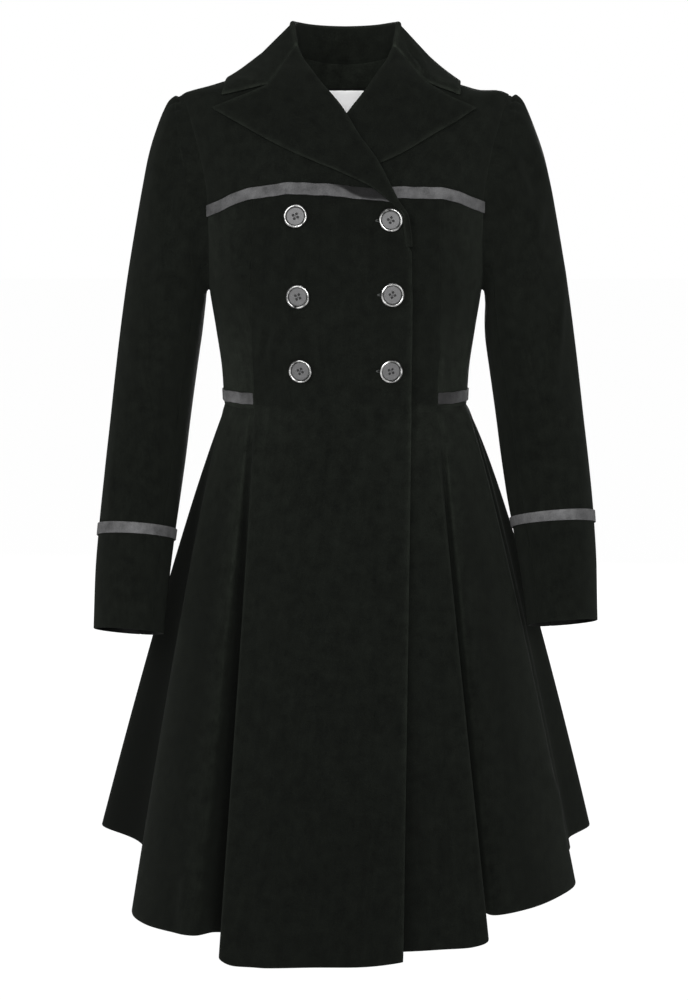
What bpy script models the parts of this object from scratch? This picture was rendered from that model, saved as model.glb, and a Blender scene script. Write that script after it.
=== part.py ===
"""Double-breasted velvet swing coat, filled out as if worn, with no wearer.

Metres, +Z up, the front faces -Y. The wearer's right is -X. The origin is between the two points where
the shoulder seams meet the neck. Every cloth piece is an open surface with a wall put on it by Solidify.
"""

import math

import bpy
import numpy as np
from mathutils import Vector

# Cloth, seams and ribbon
CLOTH = 0.0020
SEAM = 0.0003
PLEAT_GAP = 0.0006
SLEEVE_GAP = 0.0013
SLEEVE_SEAM = 0.0006
RIBBON = 0.0010
RIBBON_WIDTH = 0.0112
RIBBON_OUT = CLOTH / 2 + SEAM + RIBBON / 2
LABEL_THICKNESS = 0.0006

# Body: horizontal rings from the collar roll down to the waist seam
# columns: height, half width, front depth, back depth, squareness
BODY_RINGS = (
    (0.036, 0.0530, 0.0360, 0.0600, 2.00),
    (0.012, 0.0585, 0.0395, 0.0640, 2.00),
    (-0.013, 0.0780, 0.0460, 0.0700, 2.05),
    (-0.0245, 0.1070, 0.0545, 0.0750, 2.15),
    (-0.0355, 0.1420, 0.0615, 0.0800, 2.30),
    (-0.0465, 0.1755, 0.0675, 0.0860, 2.40),
    (-0.075, 0.1775, 0.0800, 0.0945, 2.55),
    (-0.110, 0.1715, 0.0940, 0.1010, 2.60),
    (-0.150, 0.1600, 0.1090, 0.1050, 2.60),
    (-0.200, 0.1525, 0.1210, 0.1040, 2.50),
    (-0.252, 0.1465, 0.1240, 0.1000, 2.35),
    (-0.297, 0.1395, 0.1170, 0.0960, 2.25),
    (-0.341, 0.1335, 0.1095, 0.0920, 2.20),
    (-0.3775, 0.1315, 0.1060, 0.0910, 2.20),
)
SHOULDER_Z = -0.0465
WAIST_Z = -0.3775
WAIST_TRIM_UP = 0.0055
# The wearer's left shoulder hangs lower between the neck and the sleeve head: how far, and where
LEFT_DROP = 0.0055
DROP_STARTS, DROP_FULL = 0.045, 0.105
DROP_FADES, DROP_ENDS = 0.138, 0.167
DROP_TOP_Z, DROP_END_Z = -0.040, -0.075
NECK_SIDE_Z = -0.013
NECK_BACK_Z = -0.033

BACK_ROWS = (
    *(-0.013, -0.021, -0.029, -0.0375, -0.0465, -0.075, -0.11),
    *(-0.15, -0.20, -0.252, -0.30, -0.335, -0.36, -0.3775),
)

# Armhole: an upright oval on the body surface
ARMPIT_Z = -0.252
ARMHOLE_FRONT = 0.058
ARMHOLE_BACK = 0.060

# Front edge of one front, from the neck down the lapel's roll line to the waist
# columns: height, distance from the centre (positive on the front's own side)
FRONT_EDGE = (
    (-0.0140, 0.0750),
    (-0.0155, 0.0625),
    (-0.0180, 0.0445),
    (-0.0295, 0.0370),
    (-0.0420, 0.0285),
    (-0.0705, 0.0060),
    (-0.0975, -0.0103),
    (-0.1225, -0.0283),
    (-0.1470, -0.0411),
    (-0.1660, -0.0512),
    (-0.1712, -0.0548),
    (-0.1767, -0.0578),
    (-0.1872, -0.0598),
    (-0.1964, -0.0613),
    (-0.2069, -0.0623),
    (-0.2200, -0.0646),
    (-0.2380, -0.0671),
    (-0.2650, -0.0677),
    (-0.3650, -0.0671),
    (-0.3775, -0.0670),
)
# Princess seam: height, distance from the centre
PRINCESS = ((-0.145, 0.0955), (-0.262, 0.0985), (-0.3775, 0.0964))
# Yoke seam of each front: distance from the centre towards its armhole, height
YOKE_SEAM = {
    "right": (
        (-0.066, -0.1590),
        (0.000, -0.1520),
        (0.050, -0.1485),
        (0.095, -0.1507),
        (0.120, -0.1590),
        (0.152, -0.1740),
    ),
    "left": (
        (-0.066, -0.1525),
        (0.000, -0.1510),
        (0.050, -0.1505),
        (0.095, -0.1510),
        (0.120, -0.1560),
        (0.152, -0.1700),
    ),
}
# The right front laps over the left: how far each stands off the body surface near the middle
YOKE_TRIM_START = -0.036
LAP = {"right": 0.0050, "left": -0.0030}
LAP_STARTS = {"right": (0.085, 0.055), "left": (0.100, 0.070)}
LAP_TOP_Z = -0.030
LAP_TOP_FADE = 0.030
SIDE = {"right": -1.0, "left": 1.0}

# Lapel: the roll at its fold, its notch and point, and its two long edges from the top to the break
ROLL_RADIUS = 0.0023
FOLD_GAP = 0.0023
LAPEL_OUT = 2 * ROLL_RADIUS
# columns: roll's distance from the centre, roll's height, roll radius, gap at the fold
LAPEL_ROLL = (
    (0.0525, -0.0010, 0.0023, 0.0023),
    (0.0445, -0.0180, 0.0023, 0.0023),
    (0.0370, -0.0295, 0.0023, 0.0023),
    (0.0285, -0.0420, 0.0023, 0.0023),
    (0.0060, -0.0705, 0.0023, 0.0023),
    (-0.0103, -0.0975, 0.0023, 0.0023),
    (-0.0283, -0.1225, 0.0023, 0.0023),
    (-0.0411, -0.1470, 0.0023, 0.0023),
    (-0.0512, -0.1660, 0.0021, 0.0021),
    (-0.0557, -0.1712, 0.0017, 0.0013),
    (-0.0593, -0.1767, 0.0013, 0.0010),
    (-0.0608, -0.1872, 0.0014, 0.0014),
    (-0.0625, -0.1964, 0.0014, 0.0015),
    (-0.0631, -0.2069, 0.0014, 0.0015),
)
# columns: distance from the centre, height
LAPEL_LOWER = (
    (0.1150, -0.0771),
    (0.0963, -0.0880),
    (0.0750, -0.1003),
    (0.0563, -0.1110),
    (0.0310, -0.1225),
    (0.0057, -0.1330),
    (-0.0300, -0.1503),
    (-0.0455, -0.1638),
    (-0.0546, -0.1716),
    (-0.0586, -0.1771),
    (-0.0599, -0.1874),
    (-0.0615, -0.1965),
    (-0.0621, -0.2069),
)
LAPEL_NOTCH = {"right": (0.0803, -0.0405), "left": (0.0823, -0.0330)}
LAPEL_POINT = {"right": (0.1390, -0.0630), "left": (0.1360, -0.0610)}
COLLAR_POINT = {"right": (0.1290, -0.0500), "left": (0.1190, -0.0455)}
# Collar: where it rolls over and where its outer edge lies, from the centre back to the gorge
# columns: angle at the roll, height of the roll, angle of the outer edge, height of the outer edge
COLLAR = (
    (180.0, 0.0275, 180.0, -0.0540),
    (150.0, 0.0280, 158.0, -0.0475),
    (120.0, 0.0285, 128.0, -0.0375),
    (92.0, 0.0275, 94.0, -0.0290),
    (70.0, 0.0150, 68.0, -0.0330),
)
COLLAR_OUT = 0.0034
STAND_SHARE = 0.42

# Sleeve of the wearer's left side, from just outside the armhole to the cuff
# columns: inner x, inner z, outer x, outer z, centre y, half depth, forward lean
SLEEVE = (
    (0.1515, -0.2550, 0.1822, -0.0512, 0.001, 0.0605, 0.00),
    (0.1525, -0.2600, 0.1885, -0.0548, 0.002, 0.0620, 0.00),
    (0.1530, -0.2660, 0.1957, -0.0655, 0.002, 0.0632, 0.00),
    (0.1540, -0.2740, 0.2038, -0.0840, 0.003, 0.0635, 0.00),
    (0.1553, -0.2850, 0.2115, -0.1085, 0.004, 0.0630, 0.00),
    (0.1575, -0.3020, 0.2188, -0.1430, 0.005, 0.0620, 0.00),
    (0.1610, -0.3240, 0.2278, -0.1900, 0.007, 0.0610, 0.00),
    (0.1660, -0.3570, 0.2380, -0.2480, 0.010, 0.0600, 0.00),
    (0.1715, -0.3950, 0.2475, -0.3130, 0.013, 0.0585, 0.03),
    (0.1765, -0.4340, 0.2562, -0.3850, 0.012, 0.0560, 0.09),
    (0.1822, -0.4760, 0.2637, -0.4530, 0.004, 0.0530, 0.17),
    (0.1876, -0.5165, 0.2690, -0.5110, -0.010, 0.0500, 0.23),
    (0.1940, -0.5710, 0.2725, -0.5655, -0.0245, 0.0475, 0.25),
    (0.1990, -0.6262, 0.2735, -0.6207, -0.0385, 0.0450, 0.25),
)
SLEEVE_HANG = {"right": 1.0, "left": 0.984}
SLEEVE_FULLER = {"right": (0.0, 0.0), "left": (-0.0050, 0.0030)}
SLEEVE_FRONT_SEAM = 138.0
SLEEVE_BACK_SEAM = -104.0
CUFF_TRIM_STATION = {"right": 12.08, "left": 11.96}
CUFF_TRIM_SPAN = 0.105
# Gathers at the sleeve head: ridges each side of the top, spacing in degrees round the armhole
GATHERS_EACH_SIDE = 5
GATHER_STEP = 8.0
GATHER_HEIGHT = 0.0024
GATHER_FADE = 4.5

# Skirt: one row for each fold line, from the right front's edge round the back to the left front's edge
# columns: name, angle at the waist, hem x, hem y, hem z, flare power
FOLDS = (
    ("over_edge", 28.5, 0.0567, -0.2320, -0.9290, 1.15),
    ("over_1", 11.3, 0.0200, -0.2360, -0.9325, 1.15),
    ("over_2", -7.2, -0.0360, -0.2340, -0.9338, 1.15),
    ("over_3", -27.4, -0.0900, -0.2260, -0.9372, 1.12),
    ("over_fold_1", -38.1, -0.1190, -0.2185, -0.9385, 1.06),
    ("over_fold_2", -42.7, -0.1295, -0.2115, -0.9345, 1.02),
    ("over_fold_3", -44.4, -0.1270, -0.1960, -0.9310, 1.02),
    ("over_under", -45.4, -0.1200, -0.1680, -0.9295, 1.02),
    ("pleat_right", -46.4, -0.1260, -0.1450, -0.9285, 1.00),
    ("right_in", -47.8, -0.1390, -0.1450, -0.9275, 1.00),
    ("right_fold", -50.0, -0.1590, -0.1620, -0.9258, 0.98),
    ("right_1", -58.0, -0.1870, -0.1440, -0.9270, 0.95),
    ("right_2", -68.0, -0.2180, -0.1080, -0.9295, 0.91),
    ("right_ridge", -79.0, -0.2330, -0.0700, -0.9285, 0.86),
    ("right_turn", -84.0, -0.2270, -0.0350, -0.9200, 0.92),
    ("seam_right", -90.0, -0.2120, -0.0020, -0.9080, 0.90),
    ("back_1", -97.0, -0.2350, 0.0660, -0.8910, 0.86),
    ("back_2", -105.0, -0.2880, 0.1400, -0.8890, 0.87),
    ("back_3", -112.0, -0.2700, 0.1800, -0.8900, 0.90),
    ("back_4", -122.0, -0.2050, 0.1960, -0.8930, 0.92),
    ("back_5", -136.0, -0.1680, 0.2680, -0.8960, 0.95),
    ("back_6", -156.0, -0.0850, 0.2360, -0.8980, 0.98),
    ("back_7", -180.0, 0.0000, 0.2860, -0.8980, 1.00),
    ("back_8", -204.0, 0.0850, 0.2360, -0.8980, 0.98),
    ("back_9", -224.0, 0.1680, 0.2680, -0.8960, 0.95),
    ("back_10", -238.0, 0.2050, 0.1960, -0.8930, 0.92),
    ("back_11", -248.0, 0.2700, 0.1800, -0.8900, 0.90),
    ("back_12", -255.0, 0.2890, 0.1400, -0.8890, 0.79),
    ("back_13", -261.0, 0.2590, 0.0900, -0.8920, 0.80),
    ("back_14", -266.0, 0.2570, 0.0560, -0.8950, 0.82),
    ("seam_left", -270.0, 0.2330, 0.0060, -0.8970, 0.90),
    ("left_turn", -276.0, 0.2470, -0.0180, -0.9010, 0.92),
    ("left_ridge", -282.0, 0.2535, -0.0420, -0.9050, 0.86),
    ("left_2", -294.0, 0.2320, -0.0850, -0.9070, 0.93),
    ("left_1", -303.0, 0.1973, -0.1200, -0.9095, 0.95),
    ("left_fold", -310.0, 0.1560, -0.1420, -0.9100, 0.98),
    ("left_in", -312.2, 0.1440, -0.1270, -0.9100, 1.00),
    ("pleat_left", -313.6, 0.1340, -0.1300, -0.9105, 1.00),
    ("under_under", -314.6, 0.1340, -0.1560, -0.9130, 1.02),
    ("under_fold_3", -315.6, 0.1450, -0.1830, -0.9160, 1.02),
    ("under_fold_2", -317.3, 0.1475, -0.1960, -0.9210, 1.02),
    ("under_fold_1", -321.9, 0.1340, -0.2040, -0.9245, 1.06),
    ("under_3", -332.6, 0.0960, -0.2120, -0.9255, 1.12),
    ("under_2", -352.8, 0.0300, -0.2210, -0.9250, 1.15),
    ("under_1", -371.3, -0.0200, -0.2230, -0.9220, 1.15),
    ("under_edge", -388.5, -0.0567, -0.2190, -0.9210, 1.15),
)

# Buttons: two columns of three on the right front
# columns: x, height, clearance over the cloth's curve
BUTTONS = (
    (-0.0505, -0.1771, 0.0006),
    (0.0455, -0.1810, 0.0006),
    (-0.0478, -0.2571, 0.0003),
    (0.0468, -0.2553, 0.0001),
    (-0.0453, -0.3340, 0.0006),
    (0.0455, -0.3342, 0.0006),
)
BUTTON_RADIUS = 0.0125
BUTTON_HEIGHT = 0.0036
BUTTON_SIDES = 18

LABEL_HALF_ANGLE = 16.0
LABEL_TOP = -0.0350
LABEL_HEIGHT = 0.0320

FOLD_NAMES = [fold[0] for fold in FOLDS]
FOLD_ANGLES = np.radians([fold[1] for fold in FOLDS])
FOLD_HEMS = np.array([fold[2:5] for fold in FOLDS])
FOLD_POWERS = np.array([fold[5] for fold in FOLDS])


def through(knots, values, at):
    """Smooth curve through a table's rows that never swings past them."""
    x = np.asarray(knots, float)
    y = np.asarray(values, float).reshape(len(x), -1)
    if x[0] > x[-1]:
        x, y = x[::-1], y[::-1]
    step = np.diff(x)[:, None]
    rise = np.diff(y, axis=0) / step
    same = rise[:-1] * rise[1:] > 0
    slope = np.zeros_like(y)
    slope[1:-1] = np.where(same, 2 * rise[:-1] * rise[1:] / np.where(same, rise[:-1] + rise[1:], 1), 0)
    slope[0], slope[-1] = rise[0], rise[-1]
    at = np.asarray(at, float)
    i = np.clip(np.searchsorted(x, at) - 1, 0, len(x) - 2)
    h = step[i]
    t = np.clip((at[..., None] - x[i][..., None]) / h, 0, 1)
    start = y[i] * (1 + 2 * t) * (1 - t) ** 2 + slope[i] * h * t * (1 - t) ** 2
    return start + y[i + 1] * t**2 * (3 - 2 * t) + slope[i + 1] * h * t**2 * (t - 1)


def column(table, key, value, at):
    """One column of a table against another, as a smooth curve."""
    rows = np.array(table, float)
    return through(rows[:, key], rows[:, value], at)[..., 0]


def ease(t):
    """0 to 1 with level ends."""
    t = np.clip(t, 0, 1)
    return t * t * (3 - 2 * t)


def unit(v):
    return v / np.linalg.norm(v, axis=-1, keepdims=True)


def lerp(a, b, t):
    return a + (b - a) * t


def ring(angle, z):
    """The body surface: a rounded-square ring at each height.

    Angle 0 is the front and a quarter turn is the left side.
    """
    angle, z = np.broadcast_arrays(np.asarray(angle, float), np.asarray(z, float))
    rows = np.array(BODY_RINGS)
    half, front, back, square = np.moveaxis(through(rows[:, 0], rows[:, 1:], z), -1, 0)
    s, c = np.sin(angle), np.cos(angle)
    depth = np.where(c > 0, front, back)
    x = half * np.sign(s) * np.abs(s) ** (2 / square)
    y = -depth * np.sign(c) * np.abs(c) ** (2 / square)
    return np.stack([x, y, z], axis=-1)


def outward(angle, z):
    """The body surface's outward direction."""
    turn, lift = 0.02, 0.0008
    along = ring(angle + turn, z) - ring(angle - turn, z)
    up = ring(angle, z + lift) - ring(angle, z - lift)
    return unit(np.cross(along, up))


def body(angle, z, out=0.0):
    out = np.broadcast_to(np.asarray(out, float), np.broadcast(angle, z).shape)
    return ring(angle, z) + outward(angle, z) * out[..., None]


def angle_at(x, z):
    """Angle of the front surface's point at this x."""
    rows = np.array(BODY_RINGS)
    half, _, _, square = np.moveaxis(through(rows[:, 0], rows[:, 1:], z), -1, 0)
    return np.sign(x) * np.arcsin(np.clip(np.abs(x) / half, 0, 1) ** (square / 2))


def lap_out(side, x, z):
    """How far a front stands off the body at this distance from the centre, towards its own side."""
    start, end = LAP_STARTS[side]
    return LAP[side] * ease((start - x) / (start - end)) * ease((LAP_TOP_Z - z) / LAP_TOP_FADE)


def on_front(side, x, z, out=0.0):
    """A point of one front: x is the distance from the centre towards the front's own side."""
    x, z = np.broadcast_arrays(np.asarray(x, float), np.asarray(z, float))
    return body(angle_at(SIDE[side] * x, z), z, lap_out(side, x, z) + out)


def armhole_depth(z, reach):
    """How far the armhole's edge lies before or behind its middle line at this height."""
    middle, half = (SHOULDER_Z + ARMPIT_Z) / 2, (SHOULDER_Z - ARMPIT_Z) / 2
    return reach * np.sqrt(np.clip(1 - ((z - middle) / half) ** 2, 0, 1))


def edge_angle(z, front):
    """Angle from the front of a panel's outer edge: shoulder seam, then armhole, then side seam."""
    rows = np.array(BODY_RINGS)
    _, depth_f, depth_b, square = np.moveaxis(through(rows[:, 0], rows[:, 1:], z), -1, 0)
    depth, reach = (depth_f, ARMHOLE_FRONT) if front else (depth_b, ARMHOLE_BACK)
    away = np.arccos(np.clip(armhole_depth(z, reach) / depth, 0, 1) ** (square / 2))
    return away if front else math.pi - away


def neck_z(angle):
    """Height of the neck seam round the back and sides."""
    return lerp(NECK_SIDE_Z, NECK_BACK_Z, np.clip(-np.cos(angle), 0, 1) ** 2)


def grid_of(rows, columns):
    return np.meshgrid(np.linspace(0, 1, columns + 1), np.linspace(0, 1, rows + 1))


def trimmed(grid, top=SEAM * 2 / 3, bottom=SEAM * 2 / 3, left=SEAM * 2 / 3, right=SEAM * 2 / 3):
    """The grid with its four borders drawn in, so that sewn pieces stay apart."""
    grid = grid.copy()
    grid[0] += unit(grid[1] - grid[0]) * top
    grid[-1] += unit(grid[-2] - grid[-1]) * bottom
    grid[:, 0] += unit(grid[:, 1] - grid[:, 0]) * left
    grid[:, -1] += unit(grid[:, -2] - grid[:, -1]) * right
    return grid


def material(name, colour, roughness, metallic=0.0):
    made = bpy.data.materials.new(name)
    made.use_nodes = True
    shader = made.node_tree.nodes["Principled BSDF"]
    shader.inputs["Base Color"].default_value = (*colour, 1)
    shader.inputs["Roughness"].default_value = roughness
    shader.inputs["Metallic"].default_value = metallic
    return made


def lowered(grid):
    """The grid with the left shoulder let down between the neck and the sleeve head."""
    x, z = grid[..., 0], grid[..., 2]
    inner = ease((x - DROP_STARTS) / (DROP_FULL - DROP_STARTS))
    outer = ease((DROP_ENDS - x) / (DROP_ENDS - DROP_FADES))
    high = ease((z - DROP_END_Z) / (DROP_TOP_Z - DROP_END_Z))
    return grid - np.array([0, 0, LEFT_DROP]) * (inner * outer * high)[..., None]


def wall(name, grid, look, thickness=CLOTH, closed=False):
    """A cloth piece: the grid as an open surface, with its thickness put on half to each side."""
    grid = lowered(grid)
    rows, columns = grid.shape[:2]
    number = np.arange(rows * columns).reshape(rows, columns)
    if closed:
        number = np.concatenate([number, number[:, :1]], axis=1)
    faces = np.stack([number[:-1, :-1], number[1:, :-1], number[1:, 1:], number[:-1, 1:]], axis=-1)
    mesh = bpy.data.meshes.new(name)
    mesh.from_pydata(grid.reshape(-1, 3).tolist(), [], faces.reshape(-1, 4).tolist())
    mesh.materials.append(look)
    mesh.shade_smooth()
    piece = bpy.data.objects.new(name, mesh)
    coat.objects.link(piece)
    solid = piece.modifiers.new("cloth", "SOLIDIFY")
    solid.thickness = thickness
    solid.offset = 0.0
    return piece


def front_edge(z):
    return angle_at(column(FRONT_EDGE, 0, 1, z), z)


def princess(z):
    return angle_at(column(PRINCESS, 0, 1, z), z)


def armhole_front(z):
    """Shoulder seam, then the armhole, then the side seam."""
    return np.where(z > ARMPIT_Z, edge_angle(z, True), math.pi / 2)


def yoke_line(side, across, inner, outer):
    """The yoke seam's height at each share of the way between two edges of a front."""
    z = np.full(np.shape(across), -0.155)
    for _ in range(12):
        angle = lerp(inner(z), outer(z), across)
        z = column(YOKE_SEAM[side], 0, 1, np.abs(ring(angle, z)[..., 0]) * np.sign(angle))
    return z


def front_points(side, z, across, inner, outer):
    """Points between two edges of one front, given by their angles; across runs from inner to outer."""
    angle = lerp(inner, outer, across)
    x = np.abs(ring(angle, z)[..., 0]) * np.sign(angle)
    return body(SIDE[side] * angle, z, lap_out(side, x, z))


def yoke(side):
    across, down = grid_of(12, 9)
    z = lerp(FRONT_EDGE[0][0], yoke_line(side, across, front_edge, armhole_front), down**1.8)
    grid = front_points(side, z, across, front_edge(z), armhole_front(z))
    wall("yoke_" + side, trimmed(grid), velvet)


def side_front(side):
    across, down = grid_of(8, 6)
    z = lerp(yoke_line(side, across, princess, armhole_front), WAIST_Z, down)
    grid = front_points(side, z, across, princess(z), armhole_front(z))
    wall("side_front_" + side, trimmed(grid, left=PLEAT_GAP), velvet)


def back_bodice():
    heights = np.array(BACK_ROWS)
    across, _ = grid_of(len(heights) - 1, 22)
    top = neck_z(lerp(math.pi / 2, 3 * math.pi / 2, across))
    z = lerp(top, WAIST_Z, ((heights - heights[0]) / (heights[-1] - heights[0]))[:, None])
    edge = np.where(z > ARMPIT_Z, edge_angle(z, False), math.pi / 2)
    wall("back_bodice", trimmed(body(lerp(edge, 2 * math.pi - edge, across), z)), velvet)


def fold_weights(at):
    """Weights of the fold lines at each place along the skirt's ring: a smooth spline through every fold."""
    gaps = np.linalg.norm(np.diff(FOLD_HEMS[:, :2], axis=0), axis=1) ** 0.5
    x = np.concatenate([[0], np.cumsum(gaps)])
    place = np.interp(at, np.arange(len(x)), x)
    step = np.diff(x)[:, None]
    y = np.eye(len(x))
    rise = np.diff(y, axis=0) / step
    slope = np.empty_like(y)
    slope[1:-1] = (rise[:-1] * step[1:] + rise[1:] * step[:-1]) / (step[:-1] + step[1:])
    slope[0], slope[-1] = rise[0], rise[-1]
    i = np.clip(np.searchsorted(x, place) - 1, 0, len(x) - 2)
    h = step[i]
    t = (place[:, None] - x[i][:, None]) / h
    start = y[i] * (1 + 2 * t) * (1 - t) ** 2 + slope[i] * h * t * (1 - t) ** 2
    return start + y[i + 1] * t**2 * (3 - 2 * t) + slope[i + 1] * h * t**2 * (t - 1)


def fold_columns(first, last, each):
    """Places along the skirt's ring from one fold to another, each fold's stretch cut into equal parts."""
    a, b = FOLD_NAMES.index(first), FOLD_NAMES.index(last)
    return np.linspace(a, b, (b - a) * each + 1)


def waist_angles(at):
    return fold_weights(at) @ FOLD_ANGLES


def skirt(at, down, side=None):
    """Skirt points: columns are places along the ring, down runs from the waist seam to the hem."""
    angle = waist_angles(at)
    x = ring(angle, WAIST_Z)[:, 0]
    out = lap_out(side, SIDE[side] * x, WAIST_Z) if side else 0.0
    top = body(angle, np.full_like(angle, WAIST_Z), out)
    change = FOLD_HEMS - ring(FOLD_ANGLES, np.full_like(FOLD_ANGLES, WAIST_Z))
    growth = np.stack([down[:, None] ** FOLD_POWERS] * 2 + [np.repeat(down[:, None], len(FOLDS), 1)], -1)
    return top[None] + np.einsum("ck,rkd->rcd", fold_weights(at), growth * change[None])


def centre_front(side, first, last):
    """A front in one length from yoke seam to hem; below the waist its side turns under in a pleat."""
    at = fold_columns(first, last, 2)
    own = np.mod(SIDE[side] * waist_angles(at) + math.pi, 2 * math.pi) - math.pi
    share = (own - own.min()) / (own.max() - own.min())
    across, down = np.meshgrid(share, np.linspace(0, 1, 10)[:-1])
    z = lerp(yoke_line(side, across, front_edge, princess), WAIST_Z, down)
    bodice = front_points(side, z, across, front_edge(z), princess(z))
    lower = skirt(at, np.linspace(0, 1, 11), side)
    grid = np.concatenate([bodice, lower])
    wall("centre_front_" + side, trimmed(grid, left=PLEAT_GAP, right=PLEAT_GAP), velvet)


def skirt_panel(name, first, last):
    grid = skirt(fold_columns(first, last, 2), np.linspace(0, 1, 10))
    wall(name, trimmed(grid, top=2 * SEAM, left=PLEAT_GAP, right=PLEAT_GAP), velvet)


def sleeve(side, station, turn, out=0.0):
    """Sleeve points; station 0 is the armhole, then the table rows; turn 0 is the outer side."""
    station, turn = np.broadcast_arrays(np.asarray(station, float), np.asarray(turn, float))
    rows = np.array(SLEEVE)
    shape = through(np.arange(1, len(rows) + 1), rows, np.clip(station, 1, None))
    inner_x, inner_z, outer_x, outer_z, centre_y, depth, lean = np.moveaxis(shape, -1, 0)
    fuller = ease((station - 3) / 4) * ease((14 - station) / 3)
    inner_x = inner_x + SLEEVE_FULLER[side][0] * fuller
    outer_x = outer_x + SLEEVE_FULLER[side][1] * fuller
    c, s = np.cos(turn), np.sin(turn)
    half = np.hypot(outer_x - inner_x, outer_z - inner_z) / 2
    grow = 1 + (out + gather(station, turn)) / half
    deep = depth + out
    x = (outer_x + inner_x) / 2 + (outer_x - inner_x) / 2 * c * grow
    y = centre_y - deep * s
    z = (outer_z + inner_z) / 2 + (outer_z - inner_z) / 2 * c * grow + lean * deep * s
    z = lerp(z, SHOULDER_Z + (z - SHOULDER_Z) * SLEEVE_HANG[side], ease((station - 6) / 6))
    section = np.stack([x, y, z], axis=-1)
    loop = armhole(turn)
    grid = lerp(loop, section, np.clip(station, 0, 1)[..., None])
    return grid * np.array([SIDE[side], 1, 1])


def gather(station, turn):
    """Height of the small gathers at the sleeve head."""
    degrees = np.degrees(turn)
    reach = GATHERS_EACH_SIDE * GATHER_STEP
    wave = 0.5 - 0.5 * np.cos(2 * math.pi * degrees / GATHER_STEP)
    window = ease((reach + GATHER_STEP / 2 - np.abs(degrees)) / (GATHER_STEP / 2))
    fade = np.clip(station, 0, 1) * ease((GATHER_FADE - station) / (GATHER_FADE - 1))
    return GATHER_HEIGHT * wave * window * fade


def armhole(turn):
    """A line just outside the left armhole; turn 0 is the shoulder point and half a turn the armpit."""
    middle, half = (SHOULDER_Z + ARMPIT_Z) / 2, (SHOULDER_Z - ARMPIT_Z) / 2
    z = middle + half * np.cos(turn)
    front = np.sin(turn) > 0
    angle = np.where(front, edge_angle(z, True), edge_angle(z, False))
    low = ((1 - np.cos(turn)) / 2) ** 3
    return ring(angle, z) + np.stack([SLEEVE_GAP + 0.0010 * low, 0 * low, 0 * low], axis=-1)


def sleeve_pieces(side):
    stations = np.array([0, 0.5, 1, 2, 3, 4.5, 6, 7.5, 9, 10.5, 12, 14.0])
    head = np.arange(-GATHERS_EACH_SIDE * 2, GATHERS_EACH_SIDE * 2 + 1) * GATHER_STEP / 2
    back = np.linspace(SLEEVE_BACK_SEAM, head[0], 6)[:-1]
    front = np.linspace(head[-1], SLEEVE_FRONT_SEAM, 7)[1:]
    top = np.radians(np.concatenate([back, head, front]))
    under = np.radians(np.linspace(SLEEVE_FRONT_SEAM, SLEEVE_BACK_SEAM + 360, 7))
    for name, turns in (("sleeve_top_", top), ("sleeve_under_", under)):
        grid = sleeve(side, stations[:, None], turns[None])
        wall(name + side, trimmed(grid, left=SLEEVE_SEAM, right=SLEEVE_SEAM), velvet)
    stations = CUFF_TRIM_STATION[side] + np.array([-1, 1]) * CUFF_TRIM_SPAN
    turns = np.radians(np.arange(0, 360, 12))
    strip = sleeve(side, stations[:, None], turns[None], RIBBON_OUT + 0.0004)
    wall("cuff_trim_" + side, strip, ribbon, RIBBON, closed=True)


def gorge(side, tip):
    """The top edge shared by lapel and collar, from the roll to the notch, then on to one of their points.

    Gives shares of the way, then the distance from the centre and the height at each share.
    """
    a, b, c = np.array(LAPEL_ROLL[0][:2]), np.array(LAPEL_NOTCH[side]), np.array(tip)
    first, second = np.linalg.norm(b - a), np.linalg.norm(c - b)
    to_notch, on = np.linspace(0, 1, 5), np.linspace(0, 1, 5)[1:]
    share = np.concatenate([to_notch * first, first + on * second]) / (first + second)
    points = np.concatenate([lerp(a, b, to_notch[:, None]), lerp(b, c, on[:, None])])
    return share, points[:, 0], points[:, 1]


def rolled(edge, normal, flat, radius, gap, square, steps=4):
    """Points that turn over a fold: from the edge, half way round a small roll, then out along the flat.

    The fold pulls away from the flat, or at right angles to the edge where square is 1.
    """
    pull = edge - flat[:, 1]
    pull = unit(pull - normal * np.sum(pull * normal, axis=-1, keepdims=True))
    across = unit(np.cross(normal, np.gradient(edge, axis=0)))
    across *= np.sign(np.sum(across * pull, axis=-1, keepdims=True))
    pull = unit(lerp(pull, across, square))
    bend = np.linspace(-math.pi / 2, math.pi / 2, steps + 1)[:-1]
    edge = edge + pull * gap
    over = [edge + pull * radius * math.cos(b) + normal * radius * (1 + math.sin(b)) for b in bend]
    return np.concatenate([np.stack(over, axis=1), flat], axis=1)


def lapel(side):
    rows = np.arange(len(LAPEL_ROLL))
    at = np.concatenate([np.arange(0, 3, 0.5), rows[3:]])
    along = at / at[-1]
    share, top_x, top_z = gorge(side, LAPEL_POINT[side])
    table = through(rows, LAPEL_ROLL, at)
    roll, radius, gap = table[:, :2], table[:, 2:3], table[:, 3:]
    lower = through(rows, (LAPEL_POINT[side], *LAPEL_LOWER), at)
    flat = roll[:, None] + (lower - roll)[:, None] * share[None, :, None]
    top = np.stack([top_x, top_z], axis=-1)
    flat += (top - flat[0])[None] * ((1 - along) ** 2)[:, None, None]
    x, z = flat[..., 0], flat[..., 1]
    edge = on_front(side, x[:, 0], z[:, 0])
    normal = outward(angle_at(SIDE[side] * x[:, 0], z[:, 0]), z[:, 0])
    grid = rolled(edge, normal, on_front(side, x, z, 2 * radius), radius, gap, ease(along / 0.3)[:, None])
    wall("lapel_" + side, trimmed(grid, top=PLEAT_GAP), velvet)


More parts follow.
